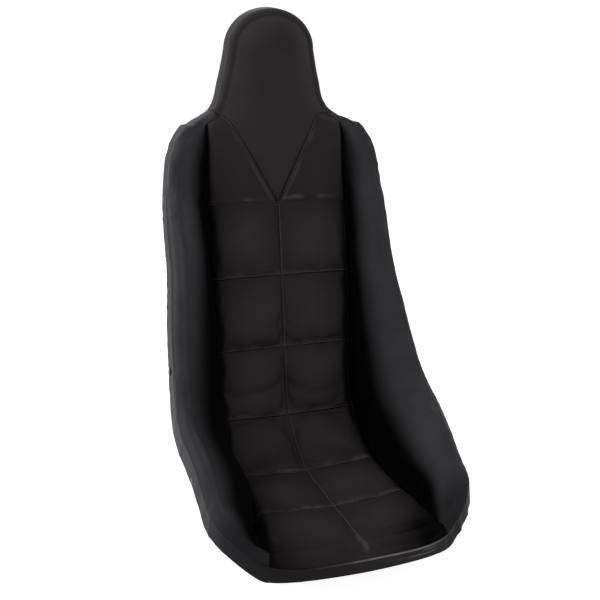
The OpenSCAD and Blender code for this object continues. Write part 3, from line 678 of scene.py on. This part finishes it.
def panel_shade(row, col, _right):
    """Painted shade toward both edges, the front right corner, the back rows and the lip. Painted highlights on
    the ridges above the channels, on parts of the middle seam, on the fold at the lip and in the middle of each
    square."""
    front, outer = ease(1 - row), np.abs(col)
    side = np.where(col < 0, 0.6 * outer ** 4, mix(0.6 * outer ** 4, ease(col / 0.9), 0.85 * front))
    nearest = np.round(row)
    above = (row - nearest) * ROW_PITCH
    x = col * FLOOR_FRONT
    patchy = ease(0.5 + wave_noise(x, 60 * nearest, 34, 83))
    patchy = patchy * (0.6 + 0.4 * wave_noise(x, 60 * nearest, 6, 84))
    # painted highlights on the ridges above the channels, strongest above the first two
    painted_highlight = np.where((nearest == 1) | (nearest == 2), 1.0, 0.4)
    ridge = bump(above - 6.5, 4.8) * patchy * painted_highlight * (nearest > 0) * (1 - outer ** 6)
    # painted highlights along parts of the middle seam and on the fold at the lip
    middle = bump(x - 2.5, 2.5) * ease(0.4 + wave_noise(row * ROW_PITCH, 0 * row, 50, 85))
    middle = middle * mix(0.2, 0.8, ease(row - 4))
    tuck = bump(x - 1, TUCK_W) * ease((row + 0.75) / 0.25) * ease((0.3 - row) / 0.25)
    # painted highlight in the middle of each square
    puffed = np.sin(np.pi * outer) * np.sin(np.pi * (row - np.floor(row))) * (row > 0)
    # painted shade toward the edges, the front right corner, the back rows and the lip
    plain = np.clip(side + 0.25 * front * outer ** 3 + 0.12 * ease((row - 3.5) / 1.5), 0, EDGE_PAINTED_SHADE)
    plain = mix(plain, 1, 0.2 * ease((1.6 - row) / 0.8))
    return 0.1 + 0.9 * plain - 0.3 * puffed - 1.7 * ridge - middle - tuck


def side_band_shade(v, c):
    # painted shade, deepening toward the front corner
    return JOIN_PAINTED_SHADE * ease((1.15 - v) / (1.15 - V_CORNER)) + 0 * c


def front_band_shade(v, c):
    """Painted highlights: two long folds shine toward the +X end, over a painted shade on the whole band."""
    along = rim_length(v)
    folds = 0
    for at, seed in ((0.2, 93), (0.5, 95)):
        off = c - at - 0.1 * wave_noise(along, 0 * along, 45, seed)
        folds = folds + bump(off, 0.06) * ease(wave_noise(along, 0 * along, 28, seed + 1) + 0.4)
    return 0.2 - 2.4 * folds * ease(along / 90) * ease((0.9 - v) / 0.2)


def gusset_shade(row, col, right):
    """Painted highlights along the ridge beside the V and in spots above the first channel; painted shade over
    the whole gusset, deeper toward the valley low down.
    """
    s = S_APEX + row * (V_LEN - NECK_GAP)
    away = col * (valley_x(s) - v_edge(s, -1 if right else 1))
    along = s - S_APEX
    ridge = bump(away - V_RIDGE, V_RIDGE_W) * ease(0.6 + wave_noise(along, 0 * s, 40, 87)) * ease(4 - 4.5 * row)
    uneven = wave_noise(away, 0 * s, 9, 90 + right)
    low = bump(along - 7 - 3 * uneven, 4) * ease(wave_noise(away, 0 * s, 25, 88 + right) * 1.5)
    return 0.15 + 0.4 * col ** 4 * (1 - row) - 0.8 * ridge - low * (1 + 0.6 * uneven)


def piping_shade(v):
    """A painted highlight along the front lip; elsewhere the light piping colour is darkened to black."""
    along = rim_length(v)
    uneven = 0.7 + 0.3 * wave_noise(along, 0 * v, 14, 91)
    painted_highlight = ease(1 - np.abs(along - HIGHLIGHT_MIDDLE) / HIGHLIGHT_REACH) * uneven
    return 0.8 - 1.7 * painted_highlight


def new_object(name, data):
    obj = bpy.data.objects.new(name, data)
    bpy.context.scene.collection.objects.link(obj)
    return obj


# ---- the cover settles as cloth ----
CLOTH_FRAMES = 20
SWELL = 4.0                           # a point moves less than this along its normal
SLIP = 1.5                            # and at most this sideways


def smooth(field, times=1):
    """Evens out a grid of values, keeping its border."""
    for _ in range(times):
        inner = (field[:-2, 1:-1] + field[2:, 1:-1] + field[1:-1, :-2] + field[1:-1, 2:]) / 4
        field = field.copy()
        field[1:-1, 1:-1] = mix(field[1:-1, 1:-1], inner, 0.5)
    return field


def refine(field, times):
    """The same grid of values with more steps between them."""
    rows, cols = (np.arange((n - 1) * times + 1) / times for n in field.shape[:2])
    return sample(field, *np.meshgrid(rows, cols, indexing="ij"))


def relax(patch, pressure, looseness):
    """Lets the cover of a patch swell and buckle as cloth that is sewn down at its pins."""
    rest = patch.top()
    n, m = rest.shape[:2]
    mesh = bpy.data.meshes.new("cloth_draft")
    mesh.from_pydata((rest.reshape(-1, 3) * MM).tolist(), [], grid_faces(n, m).tolist())
    obj = new_object("cloth_draft", mesh)
    sewn = obj.vertex_groups.new(name="sewn")
    sewn.add(np.flatnonzero(patch.pins(*patch.grid())).tolist(), 1.0, "REPLACE")
    cloth = obj.modifiers.new("cloth", "CLOTH")
    settings = cloth.settings
    settings.quality, settings.mass = 5, 0.2
    settings.tension_stiffness = settings.compression_stiffness = 15
    settings.shear_stiffness, settings.bending_stiffness = 5, 0.05
    settings.use_pressure, settings.uniform_pressure_force = True, pressure
    settings.vertex_group_mass = "sewn"
    settings.shrink_min = -looseness
    settings.effector_weights.gravity = 0
    cloth.collision_settings.use_collision = False
    cloth.point_cache.frame_end = CLOTH_FRAMES
    for now in range(1, CLOTH_FRAMES + 1):
        bpy.context.scene.frame_set(now)
    settled = obj.evaluated_get(bpy.context.evaluated_depsgraph_get()).to_mesh()
    flat = np.empty(n * m * 3)
    settled.vertices.foreach_get("co", flat)
    obj.to_mesh_clear()
    bpy.data.objects.remove(obj)
    bpy.context.scene.frame_set(1)
    moved = flat.reshape(n, m, 3) / MM - rest
    normals = patch.frames(*patch.grid())[1]
    along = np.sum(moved * normals, -1, keepdims=True)
    aside = moved - along * normals
    aside *= np.minimum(1, SLIP / np.maximum(np.linalg.norm(aside, axis=-1, keepdims=True), 1e-9))
    push = smooth(SWELL * np.tanh(along / SWELL) * normals + aside)
    patch.push = refine(push, TIMES)


# ---- meshes ----
def add_object(name, points, faces, slot_name, material, nodes=(), shade=None):
    mesh = bpy.data.meshes.new(name)
    mesh.from_pydata((np.asarray(points).reshape(-1, 3) * MM).tolist(), [], faces)
    # the attribute shade holds painted shade and painted highlights
    if shade is not None:
        mesh.attributes.new("shade", "FLOAT", "POINT").data.foreach_set("value", shade)
    bm = bmesh.new()
    bm.from_mesh(mesh)
    bmesh.ops.remove_doubles(bm, verts=bm.verts, dist=0.02 * MM)
    bmesh.ops.recalc_face_normals(bm, faces=bm.faces)
    bm.to_mesh(mesh)
    bm.free()
    mesh.polygons.foreach_set("use_smooth", [True] * len(mesh.polygons))
    mesh.set_sharp_from_angle(angle=math.radians(50))
    mesh.materials.append(material)
    obj = new_object(name, mesh)
    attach(obj, "root")
    if nodes:
        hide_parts(*nodes)
    return obj


def grid_faces(n, m, first=0):
    j, i = np.meshgrid(np.arange(n - 1), np.arange(m - 1), indexing="ij")
    a = first + j * m + i
    return np.stack([a, a + 1, a + m + 1, a + m], -1).reshape(-1, 4)


def closed_grid(top, low, fold_first=False, fold_last=False):
    """Points and faces of the solid between two grids. A folded end row needs no wall."""
    n, m = top.shape[:2]
    top_faces, low_faces = grid_faces(n, m), grid_faces(n, m, n * m)[:, ::-1]
    j, i = np.arange(n - 1), np.arange(m - 1)
    walls = []
    for col in (0, m - 1):
        a = j * m + col
        walls.append(np.stack([a, a + m, a + m + n * m, a + n * m], -1))
    for row, folded in ((0, fold_first), (n - 1, fold_last)):
        if not folded:
            a = row * m + i
            walls.append(np.stack([a, a + 1, a + 1 + n * m, a + n * m], -1))
    faces = np.concatenate([top_faces, low_faces] + walls)
    return np.concatenate([top.reshape(-1, 3), low.reshape(-1, 3)]), faces.tolist()


def mirrored(grid):
    return grid[:, ::-1] * np.array([-1.0, 1.0, 1.0])


def tube(path, normals, radius, sides=12, closed=False):
    """Points and faces of a round tube along a path."""
    ahead = np.roll(path, -1, 0) if closed else np.vstack([path[1:], path[-1:]])
    behind = np.roll(path, 1, 0) if closed else np.vstack([path[:1], path[:-1]])
    t = unit(ahead - behind)
    b = unit(np.cross(t, normals))
    n = np.cross(b, t)
    a = 2 * np.pi * np.arange(sides) / sides
    ring = np.cos(a)[None, :, None] * b[:, None] + np.sin(a)[None, :, None] * n[:, None]
    points = path[:, None] + np.asarray(radius).reshape(-1, 1, 1) * ring
    m, faces = len(path), []
    for j in range(m if closed else m - 1):
        for i in range(sides):
            k = (i + 1) % sides
            faces.append((j * sides + i, j * sides + k, (j + 1) % m * sides + k, (j + 1) % m * sides + i))
    if not closed:
        faces.append(tuple(range(sides)))
        faces.append(tuple((m - 1) * sides + i for i in range(sides)))
    return points.reshape(-1, 3), faces


# ---- pieces ----
def add_padded(name, top, low, dark, flip, material, nodes, fold=False):
    """A padded piece between two grids, or its mirror image."""
    if flip:
        top, low, dark = mirrored(top), mirrored(low), dark[:, ::-1]
    points, faces = closed_grid(top, low, fold_last=fold)
    obj = add_object(name, points, faces, "cover_vinyl", material, nodes, np.tile(dark.ravel(), 2))


def add_pad(patch, material, nodes):
    row, col = patch.grid(TIMES)
    # painted shade and painted highlights of the patch, 0 where it has none
    dark = patch.shade(row, col, patch.flip) if patch.shade else 0 * row
    add_padded(patch.name, patch.finished(), patch.base(), dark, patch.flip, material, nodes, patch.fold)


BAND_COLS = 30
BAND_JOIN = 0.0005                    # in v, from a band's end to the seam between two bands


def add_band(name, vs, material, nodes, shade=None, flip=False):
    v, c = np.meshgrid(vs, np.linspace(0, 1, BAND_COLS), indexing="ij")
    points, normals, high = band_frames(v, c, -1 if flip else 1)
    top, low = points + normals * high[..., None], points + normals * FIT
    add_padded(name, top, low, shade(v, c) if shade else 0 * v, flip, material, nodes)


def half_rim(front=60, side=420, head=60):
    return np.concatenate([steps(0, 1, front), steps(1, 2, side), steps(2, 3, head), [3]])


def band_stretches():
    """v along the front band, along one side and round the headrest."""
    rim, near = half_rim(), 2 * BAND_JOIN
    front = np.append(rim[rim < V_CORNER - near], V_CORNER - BAND_JOIN)
    side = rim[(rim > V_CORNER + near) & (rim < V_NECK - near)]
    side = np.concatenate([[V_CORNER + BAND_JOIN], side, [V_NECK - BAND_JOIN]])
    head = np.concatenate([[V_NECK + BAND_JOIN], rim[rim > V_NECK + near]])
    return np.concatenate([-front[:0:-1], front]), side, np.concatenate([head, 6 - head[-2::-1]])


def runner_grid(x):
    """Points down one side of a runner, along its flat foot and up the other side, at each station."""
    t = np.linspace(0, 1, 61)
    first = (abs(LIP_Y) - RUNNER_LEN / 2) / math.cos(math.radians(CUSHION_RAKE))
    s = mix(first, S_BACK, t)
    y = mix(-RUNNER_LEN / 2, RUNNER_LEN / 2, t)
    half = RUNNER_W / 2
    columns = []
    for offset in (-1, 1):
        at = x + offset * half
        top = bed(np.full_like(s, at), s) - bed_normal(np.full_like(s, at), s) * RUNNER_SINK
        foot = np.stack([np.full_like(s, at), y, np.zeros_like(s)], -1)
        wall = [mix(top, foot, k) for k in np.linspace(0, 1, 9)]
        columns += wall if offset < 0 else wall[::-1]
    return np.stack(columns, 1)


def solid_object(name, bm):
    mesh = bpy.data.meshes.new(name)
    bm.to_mesh(mesh)
    bm.free()
    return new_object(name, mesh)


def runner_mesh(x):
    """A runner with rounded edges and a pocket for each threaded insert."""
    ring = runner_grid(x)
    n, m = ring.shape[:2]
    faces = grid_faces(n, m).tolist() + [[j * m + m - 1, j * m, (j + 1) * m, (j + 1) * m + m - 1]
                                         for j in range(n - 1)]
    faces += [list(range(m)), [(n - 1) * m + i for i in range(m)]]
    bm = bmesh.new()
    verts = [bm.verts.new(p * MM) for p in ring.reshape(-1, 3)]
    for face in faces:
        bm.faces.new([verts[i] for i in face])
    bmesh.ops.recalc_face_normals(bm, faces=bm.faces)
    sharp = [e for e in bm.edges if e.calc_face_angle(0) > math.radians(50)]
    bmesh.ops.bevel(bm, geom=sharp, offset=RUNNER_EDGE * MM, segments=3, profile=0.5, affect="EDGES")
    runner = solid_object("runner_blank", bm)

    bm = bmesh.new()
    for y in (-BOLT_PITCH_Y / 2, BOLT_PITCH_Y / 2):
        bmesh.ops.create_cone(bm, cap_ends=True, segments=64, radius1=INSERT_R * MM, radius2=INSERT_R * MM,
                              depth=2 * (INSERT_LEN + 1) * MM, matrix=Matrix.Translation((x * MM, y * MM, 0)))
    cutter = solid_object("pocket_cutter", bm)
    cut = runner.modifiers.new("pockets", "BOOLEAN")
    cut.operation, cut.object = "DIFFERENCE", cutter
    mesh = bpy.data.meshes.new_from_object(runner.evaluated_get(bpy.context.evaluated_depsgraph_get()))
    bpy.data.objects.remove(runner)
    bpy.data.objects.remove(cutter)
    return mesh


def add_shell(material):
    vs = half_rim(50, 330, 50)
    us = np.concatenate([steps(0, 1, 34), steps(1, 2, 9), steps(2, 3, 6), [3]])
    v, u = np.meshgrid(vs, us, indexing="ij")
    points, normals = face_point(v, u), face_normal(v, u)
    outer = points - normals * SHELL_WALL
    whole = [np.concatenate([mirrored(g)[:, :-1], g], 1) for g in (points, outer)]
    obj = add_object("moulded_shell", *closed_grid(*whole, fold_first=True, fold_last=True), "shell_plastic",
                     material, ["seat_shell"])
    bm = bmesh.new()
    bm.from_mesh(obj.data)
    for side in (-1, 1):
        bm.from_mesh(runner_mesh(side * BOLT_PITCH_X / 2))
    bm.to_mesh(obj.data)
    bm.free()
    obj.data.polygons.foreach_set("use_smooth", [True] * len(obj.data.polygons))
    obj.data.set_sharp_from_angle(angle=math.radians(40))


def whole_rim():
    half = half_rim()
    return np.concatenate([-half[:0:-1], half[:-1]])


def add_piping(material):
    vs = whole_rim()
    u = seam_u(vs)
    normals, radius = face_normal(vs, u), welt_r(vs)
    high = BAND_FACE - 0.75 * PIPING_R + 0.75 * radius + gather(vs, u)
    path = face_point(vs, u) + normals * high[:, None]
    points, faces = tube(path, normals, radius, closed=True)
    shade = np.repeat(piping_shade(vs), len(points) // len(vs))
    add_object("rim_welt", points, faces, "piping_vinyl", material, ["rim_piping"], shade)


def add_elastic(material):
    vs = np.linspace(-V_NECK, V_NECK, 700)
    u = 3 + (FIT + ELASTIC_R) / flange(vs)
    normals = face_normal(vs, u)
    cord = tube(face_point(vs, u) - normals * ELASTIC_R, normals, ELASTIC_R)
    add_object("hem_cord", *cord, "elastic", material, ["hem_elastic"])


def add_rear_panel(material):
    vs = np.concatenate([steps(V_HOOD, 2, 30), steps(2, 3, 30), [3]])
    v, t = np.meshgrid(vs, np.linspace(-1, 1, 41), indexing="ij")
    s = edge(v)[1]
    hub = spoke(v, np.zeros_like(v))[1]
    y, z = spine(s)
    a = rib(s)
    rim = face_point(v, 3)
    depth = (rim[..., 1] - y) * np.cos(a) + (rim[..., 2] - z) * np.sin(a)
    middle = place(np.zeros_like(v), hub, depth)
    rim[..., 0] *= np.sign(t)
    points = mix(middle, rim, np.abs(t)[..., None])
    b = rib(hub)
    back = np.stack([np.zeros_like(b), -np.cos(b), -np.sin(b)], -1)
    grids = points + back * (FIT + VINYL), points + back * FIT
    obj = add_object("headrest_rear_cover", *closed_grid(*grids, fold_last=True), "cover_vinyl", material,
                     ["headrest_rear_panel"])


# ---- stitching ----
STITCH_PITCH = 5.4
STITCH_LEN = 2.9
STITCH_R = 0.75
STITCH_ASIDE = 2.6                    # from the seam's middle


def stitch_line(patch, row, col):
    """Pairs of points and normals, one for each stitch along a line on a patch."""
    path = patch.at(row, col)
    normals = patch.frames(row, col)[1]
    run = np.concatenate([[0], np.cumsum(np.linalg.norm(np.diff(path, axis=0), axis=1))])
    starts = np.arange(1.5, run[-1] - STITCH_LEN - 1.5, STITCH_PITCH)
    at = starts[:, None] + np.array([0, 0.2, 0.8, 1]) * STITCH_LEN
    points, ups = (np.stack([np.interp(at, run, values[:, k]) for k in range(3)], -1)
                   for values in (path, normals))
    points = points + ups * np.array([-0.1, 0.6, 0.6, -0.1])[:, None]
    if patch.flip:
        points, ups = points * [-1, 1, 1], ups * [-1, 1, 1]
    return list(zip(points, ups))


def add_stitching(patches, material):
    panel = patches["quilted_pad"]
    across = np.linspace(-0.985, 0.985, 400)
    found = []
    for row in range(1, ROWS + 1):
        beside = min(row + STITCH_ASIDE / ROW_PITCH, ROWS - 1e-6)
        found += stitch_line(panel, np.full_like(across, beside), across)
    along = np.linspace(0.03, ROWS - 0.02, 1200)
    found += stitch_line(panel, along, np.full_like(along, STITCH_ASIDE / FLOOR_FRONT))
    row = np.linspace(0.03, 0.97, 300)
    s = S_APEX + row * (V_LEN - NECK_GAP)
    for side, name in ((1, "left"), (-1, "right")):
        col = 3.0 / np.maximum(valley_x(s) - v_edge(s, side), 6)
        found += stitch_line(patches[f"shoulder_gusset_pad_{name}"], row, col)
    points, faces = [], []
    for path, ups in found:
        more, sides = tube(path, ups, STITCH_R * np.array([0.5, 1, 1, 0.5]), sides=6)
        first = len(points) * len(more)
        points.append(more)
        faces += [tuple(first + k for k in side) for side in sides]
    add_object("seam_stitching", np.concatenate(points), faces, "piping_vinyl", material)


# ---- materials ----
SHEEN = 0.1                           # of the vinyl, as the shader's specular level
PLASTIC_SHEEN = 0.2                   # of the plastic, the thread and the elastic
TONE_SPAN = 0.2                       # the vinyl's colour varies by this share
POLISH_SPAN = 0.05                    # and its roughness by this
GRAIN_SCALE = 700
GRAIN_DEPTH = 0.2 * MM
SKIN_SCALE = 420
SKIN_DEPTH = 0.3 * MM
BLACK = (0, 0, 0, 1)


def node_material(name):
    material = bpy.data.materials.new(name)
    material.use_nodes = True
    nodes, links = material.node_tree.nodes, material.node_tree.links
    return material, nodes, links, nodes["Principled BSDF"]


def put(node, **values):
    """Sets inputs of a node, with _ for the spaces in their names."""
    for name, value in values.items():
        node.inputs[name.replace("_", " ")].default_value = value
    return node


def add_relief(nodes, links, shader, height, strength, depth):
    relief = put(nodes.new("ShaderNodeBump"), Strength=strength, Distance=depth)
    links.new(height, relief.inputs["Height"])
    links.new(relief.outputs["Normal"], shader.inputs["Normal"])


def vinyl_material(name, color, rough):
    """Vinyl with a fine leather grain and a slow change in tone and polish. The point attribute
    shade adds painted shade, taking it toward black, and painted highlights, making it lighter where it is
    below 0, with its gloss."""
    material, nodes, links, shader = node_material(name)
    where = nodes.new("ShaderNodeTexCoord").outputs["Object"]
    tone = put(nodes.new("ShaderNodeTexNoise"), Scale=9, Detail=3)
    links.new(where, tone.inputs["Vector"])
    tones = nodes.new("ShaderNodeValToRGB")
    for element, at, change in zip(tones.color_ramp.elements, (0.3, 0.7), (-TONE_SPAN, TONE_SPAN)):
        element.position = at
        element.color = (*[c * (1 + change) for c in color], 1)
    links.new(tone.outputs["Fac"], tones.inputs["Fac"])
    shade = nodes.new("ShaderNodeAttribute")
    shade.attribute_name = "shade"
    darker = nodes.new("ShaderNodeMix")
    darker.data_type, darker.clamp_factor = "RGBA", False
    put(darker, B=BLACK)
    links.new(shade.outputs["Fac"], darker.inputs["Factor"])
    links.new(tones.outputs["Color"], darker.inputs["A"])
    links.new(darker.outputs["Result"], shader.inputs["Base Color"])
    put(shader, Specular_IOR_Level=SHEEN)
    gloss = put(nodes.new("ShaderNodeMapRange"), To_Min=SHEEN, To_Max=0)
    gloss.clamp = False
    links.new(shade.outputs["Fac"], gloss.inputs["Value"])
    links.new(gloss.outputs["Result"], shader.inputs["Specular IOR Level"])
    polish = put(nodes.new("ShaderNodeMapRange"), To_Min=rough - POLISH_SPAN, To_Max=rough + POLISH_SPAN)
    links.new(tone.outputs["Fac"], polish.inputs["Value"])
    links.new(polish.outputs["Result"], shader.inputs["Roughness"])
    grain = put(nodes.new("ShaderNodeTexVoronoi"), Scale=GRAIN_SCALE)
    links.new(where, grain.inputs["Vector"])
    add_relief(nodes, links, shader, grain.outputs["Distance"], 0.25, GRAIN_DEPTH)
    return material


def plastic_material(name, color, rough):
    material, nodes, links, shader = node_material(name)
    skin = put(nodes.new("ShaderNodeTexNoise"), Scale=SKIN_SCALE, Detail=4)
    links.new(nodes.new("ShaderNodeTexCoord").outputs["Object"], skin.inputs["Vector"])
    add_relief(nodes, links, shader, skin.outputs["Fac"], 0.3, SKIN_DEPTH)
    put(shader, Base_Color=(*color, 1), Roughness=rough, Specular_IOR_Level=PLASTIC_SHEEN)
    return material


def metal_material(name, color, rough):
    material, _, _, shader = node_material(name)
    put(shader, Metallic=1, Base_Color=(*color, 1), Roughness=rough)
    return material


# ---- stage ----
AZIMUTH, ELEVATION, ROLL = -21.1, 26.6, 4.8
TARGET = Vector((0, 0.0841, 0.3794))
CAMERA_DISTANCE = 1.8265
LENS = 54
AMBIENT = 0.12                        # strength of the white world, as light on the seat
FLOOR_GLOW = 0.91                     # added to the lit floor, where 1 is white
FLOOR_HALF = 30.0
# name, azimuth, elevation, distance, diameter, watts
LIGHTS = [("front", 5, 38, 2.6, 1.4, 3.5), ("bounce", 30, -3, 2.4, 0.5, 5), ("right", 80, 35, 2.6, 1.4, 4),
          ("left", -90, 30, 2.6, 1.4, 20), ("behind", -130, 40, 2.6, 1.4, 18), ("top", 20, 78, 2.6, 1.4, 3),
          ("back", 160, 25, 2.6, 1.4, 9)]


def direction(azimuth, elevation):
    a, e = math.radians(azimuth), math.radians(elevation)
    return Vector((math.sin(a) * math.cos(e), -math.cos(a) * math.cos(e), math.sin(e)))


def add_camera():
    camera = new_object("camera", bpy.data.cameras.new("camera"))
    camera.data.lens = LENS
    camera.data.clip_end = 50
    back = direction(AZIMUTH, ELEVATION)
    level = Vector((math.cos(math.radians(AZIMUTH)), math.sin(math.radians(AZIMUTH)), 0))
    up = back.cross(level)
    c, s = math.cos(math.radians(ROLL)), math.sin(math.radians(ROLL))
    right, top = c * level + s * up, -s * level + c * up
    camera.matrix_world = Matrix.Translation(TARGET + CAMERA_DISTANCE * back) @ Matrix(
        (right, top, back)).transposed().to_4x4()
    bpy.context.scene.camera = camera


def add_light(name, azimuth, elevation, distance, size, power):
    lamp = bpy.data.lights.new(name, "AREA")
    lamp.shape, lamp.size, lamp.energy = "DISK", size, power
    obj = new_object(name, lamp)
    away = direction(azimuth, elevation)
    obj.location = TARGET + away * distance
    obj.rotation_euler = away.to_track_quat("Z", "Y").to_euler()


def seen_directly(nodes, links):
    """1 for rays from the camera, and for those seen in gloss or through glass."""
    path = nodes.new("ShaderNodeLightPath")
    seen = path.outputs["Is Camera Ray"]
    for kind in ("Is Glossy Ray", "Is Transmission Ray"):
        most = nodes.new("ShaderNodeMath")
        most.operation = "MAXIMUM"
        links.new(seen, most.inputs[0])
        links.new(path.outputs[kind], most.inputs[1])
        seen = most.outputs[0]
    return seen


def add_world():
    world = bpy.data.worlds.new("studio")
    bpy.context.scene.world = world
    world.use_nodes = True
    nodes, links = world.node_tree.nodes, world.node_tree.links
    level = nodes.new("ShaderNodeMapRange")
    put(level, To_Min=AMBIENT, To_Max=1)
    links.new(seen_directly(nodes, links), level.inputs["Value"])
    links.new(level.outputs["Result"], nodes["Background"].inputs["Strength"])
    put(nodes["Background"], Color=(1, 1, 1, 1))


def add_floor():
    corners = [(x * FLOOR_HALF, y * FLOOR_HALF, 0) for x, y in ((-1, -1), (1, -1), (1, 1), (-1, 1))]
    mesh = bpy.data.meshes.new("floor")
    mesh.from_pydata(corners, [], [(0, 1, 2, 3)])
    floor = new_object("floor", mesh)
    material, nodes, links, shader = node_material("floor_paper")
    put(shader, Base_Color=(0.8, 0.8, 0.8, 1), Roughness=0.9, Specular_IOR_Level=0.1)
    put(shader, Emission_Color=(1, 1, 1, 1))
    glow = nodes.new("ShaderNodeMath")
    glow.operation = "MULTIPLY"
    glow.inputs[1].default_value = FLOOR_GLOW
    links.new(seen_directly(nodes, links), glow.inputs[0])
    links.new(glow.outputs[0], shader.inputs["Emission Strength"])
    mesh.materials.append(material)


def set_stage():
    add_camera()
    add_world()
    add_floor()
    for light in LIGHTS:
        add_light(*light)
    bpy.context.scene.view_settings.view_transform = "Standard"


def add_pads(patches, vinyl, side_vinyl_painted_light, head_vinyl_painted_light):
    add_pad(patches["quilted_pad"], vinyl, ("quilted_panel", "seat_foam", "back_foam"))
    add_pad(patches["headrest_pad"], head_vinyl_painted_light, ("headrest_panel", "headrest_foam"))
    for side in ("left", "right"):
        add_pad(patches[f"shoulder_gusset_pad_{side}"], vinyl,
                (f"shoulder_gusset_{side}", f"gusset_foam_{side}"))
        add_pad(patches[f"bolster_pad_{side}"], side_vinyl_painted_light,
                (f"bolster_cover_{side}", f"bolster_foam_{side}"))


def dress_hardware(lacquer, zinc):
    for node, material in (("snap_caps", lacquer), ("snap_sockets", zinc), ("snap_studs", zinc),
                           ("stud_screws", zinc), ("base_inserts", zinc)):
        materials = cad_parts[node].data.materials
        materials.clear()
        materials.append(material)


def main():
    set_stage()
    # the bolster and headrest vinyls are lighter copies of the black vinyl, painted light; the band vinyl is a
    # darker copy, painted shade
    vinyl = vinyl_material("black_vinyl", (0.036, 0.03, 0.0317), 0.52)
    side_vinyl_painted_light = vinyl_material("bolster_vinyl_painted_light", (0.051, 0.0488, 0.054), 0.55)
    head_vinyl_painted_light = vinyl_material("headrest_vinyl_painted_light", (0.038, 0.0325, 0.034), 0.55)
    band_vinyl_painted_shade = vinyl_material("band_vinyl_painted_shade", (0.022, 0.0187, 0.0198), 0.4)
    thread = plastic_material("black_thread", (0.12, 0.112, 0.115), 0.5)
    # the light grey of piping_vinyl is the colour of a painted highlight, which piping_shade darkens away from
    # the front lip
    piping = vinyl_material("piping_vinyl", (0.17, 0.165, 0.17), 0.2)
    plastic = plastic_material("black_polyethylene", (0.026, 0.026, 0.028), 0.42)
    elastic = plastic_material("elastic_cord", (0.03, 0.03, 0.03), 0.7)
    lacquer = metal_material("black_lacquer", (0.03, 0.03, 0.032), 0.35)
    zinc = metal_material("zinc_plated_steel", (0.42, 0.42, 0.43), 0.35)

    patches = make_patches()
    for name, patch in patches.items():
        relax(patch, 2 if "bolster" in name else 1, 0.01 if "headrest" in name else 0.02)
    add_pads(patches, vinyl, side_vinyl_painted_light, head_vinyl_painted_light)
    front, side, head = band_stretches()
    add_band("front_band_cover", front, band_vinyl_painted_shade, ["front_band"], front_band_shade)
    add_stitching(patches, thread)
    for name in ("left", "right"):
        add_band(f"side_band_cover_{name}", side, side_vinyl_painted_light, [f"side_band_{name}"], side_band_shade,
                 flip=name == "right")
    add_band("headrest_band_cover", head, head_vinyl_painted_light, ["headrest_band"])
    add_rear_panel(vinyl)
    add_shell(plastic)
    add_piping(piping)
    add_elastic(elastic)
    dress_hardware(lacquer, zinc)


main()
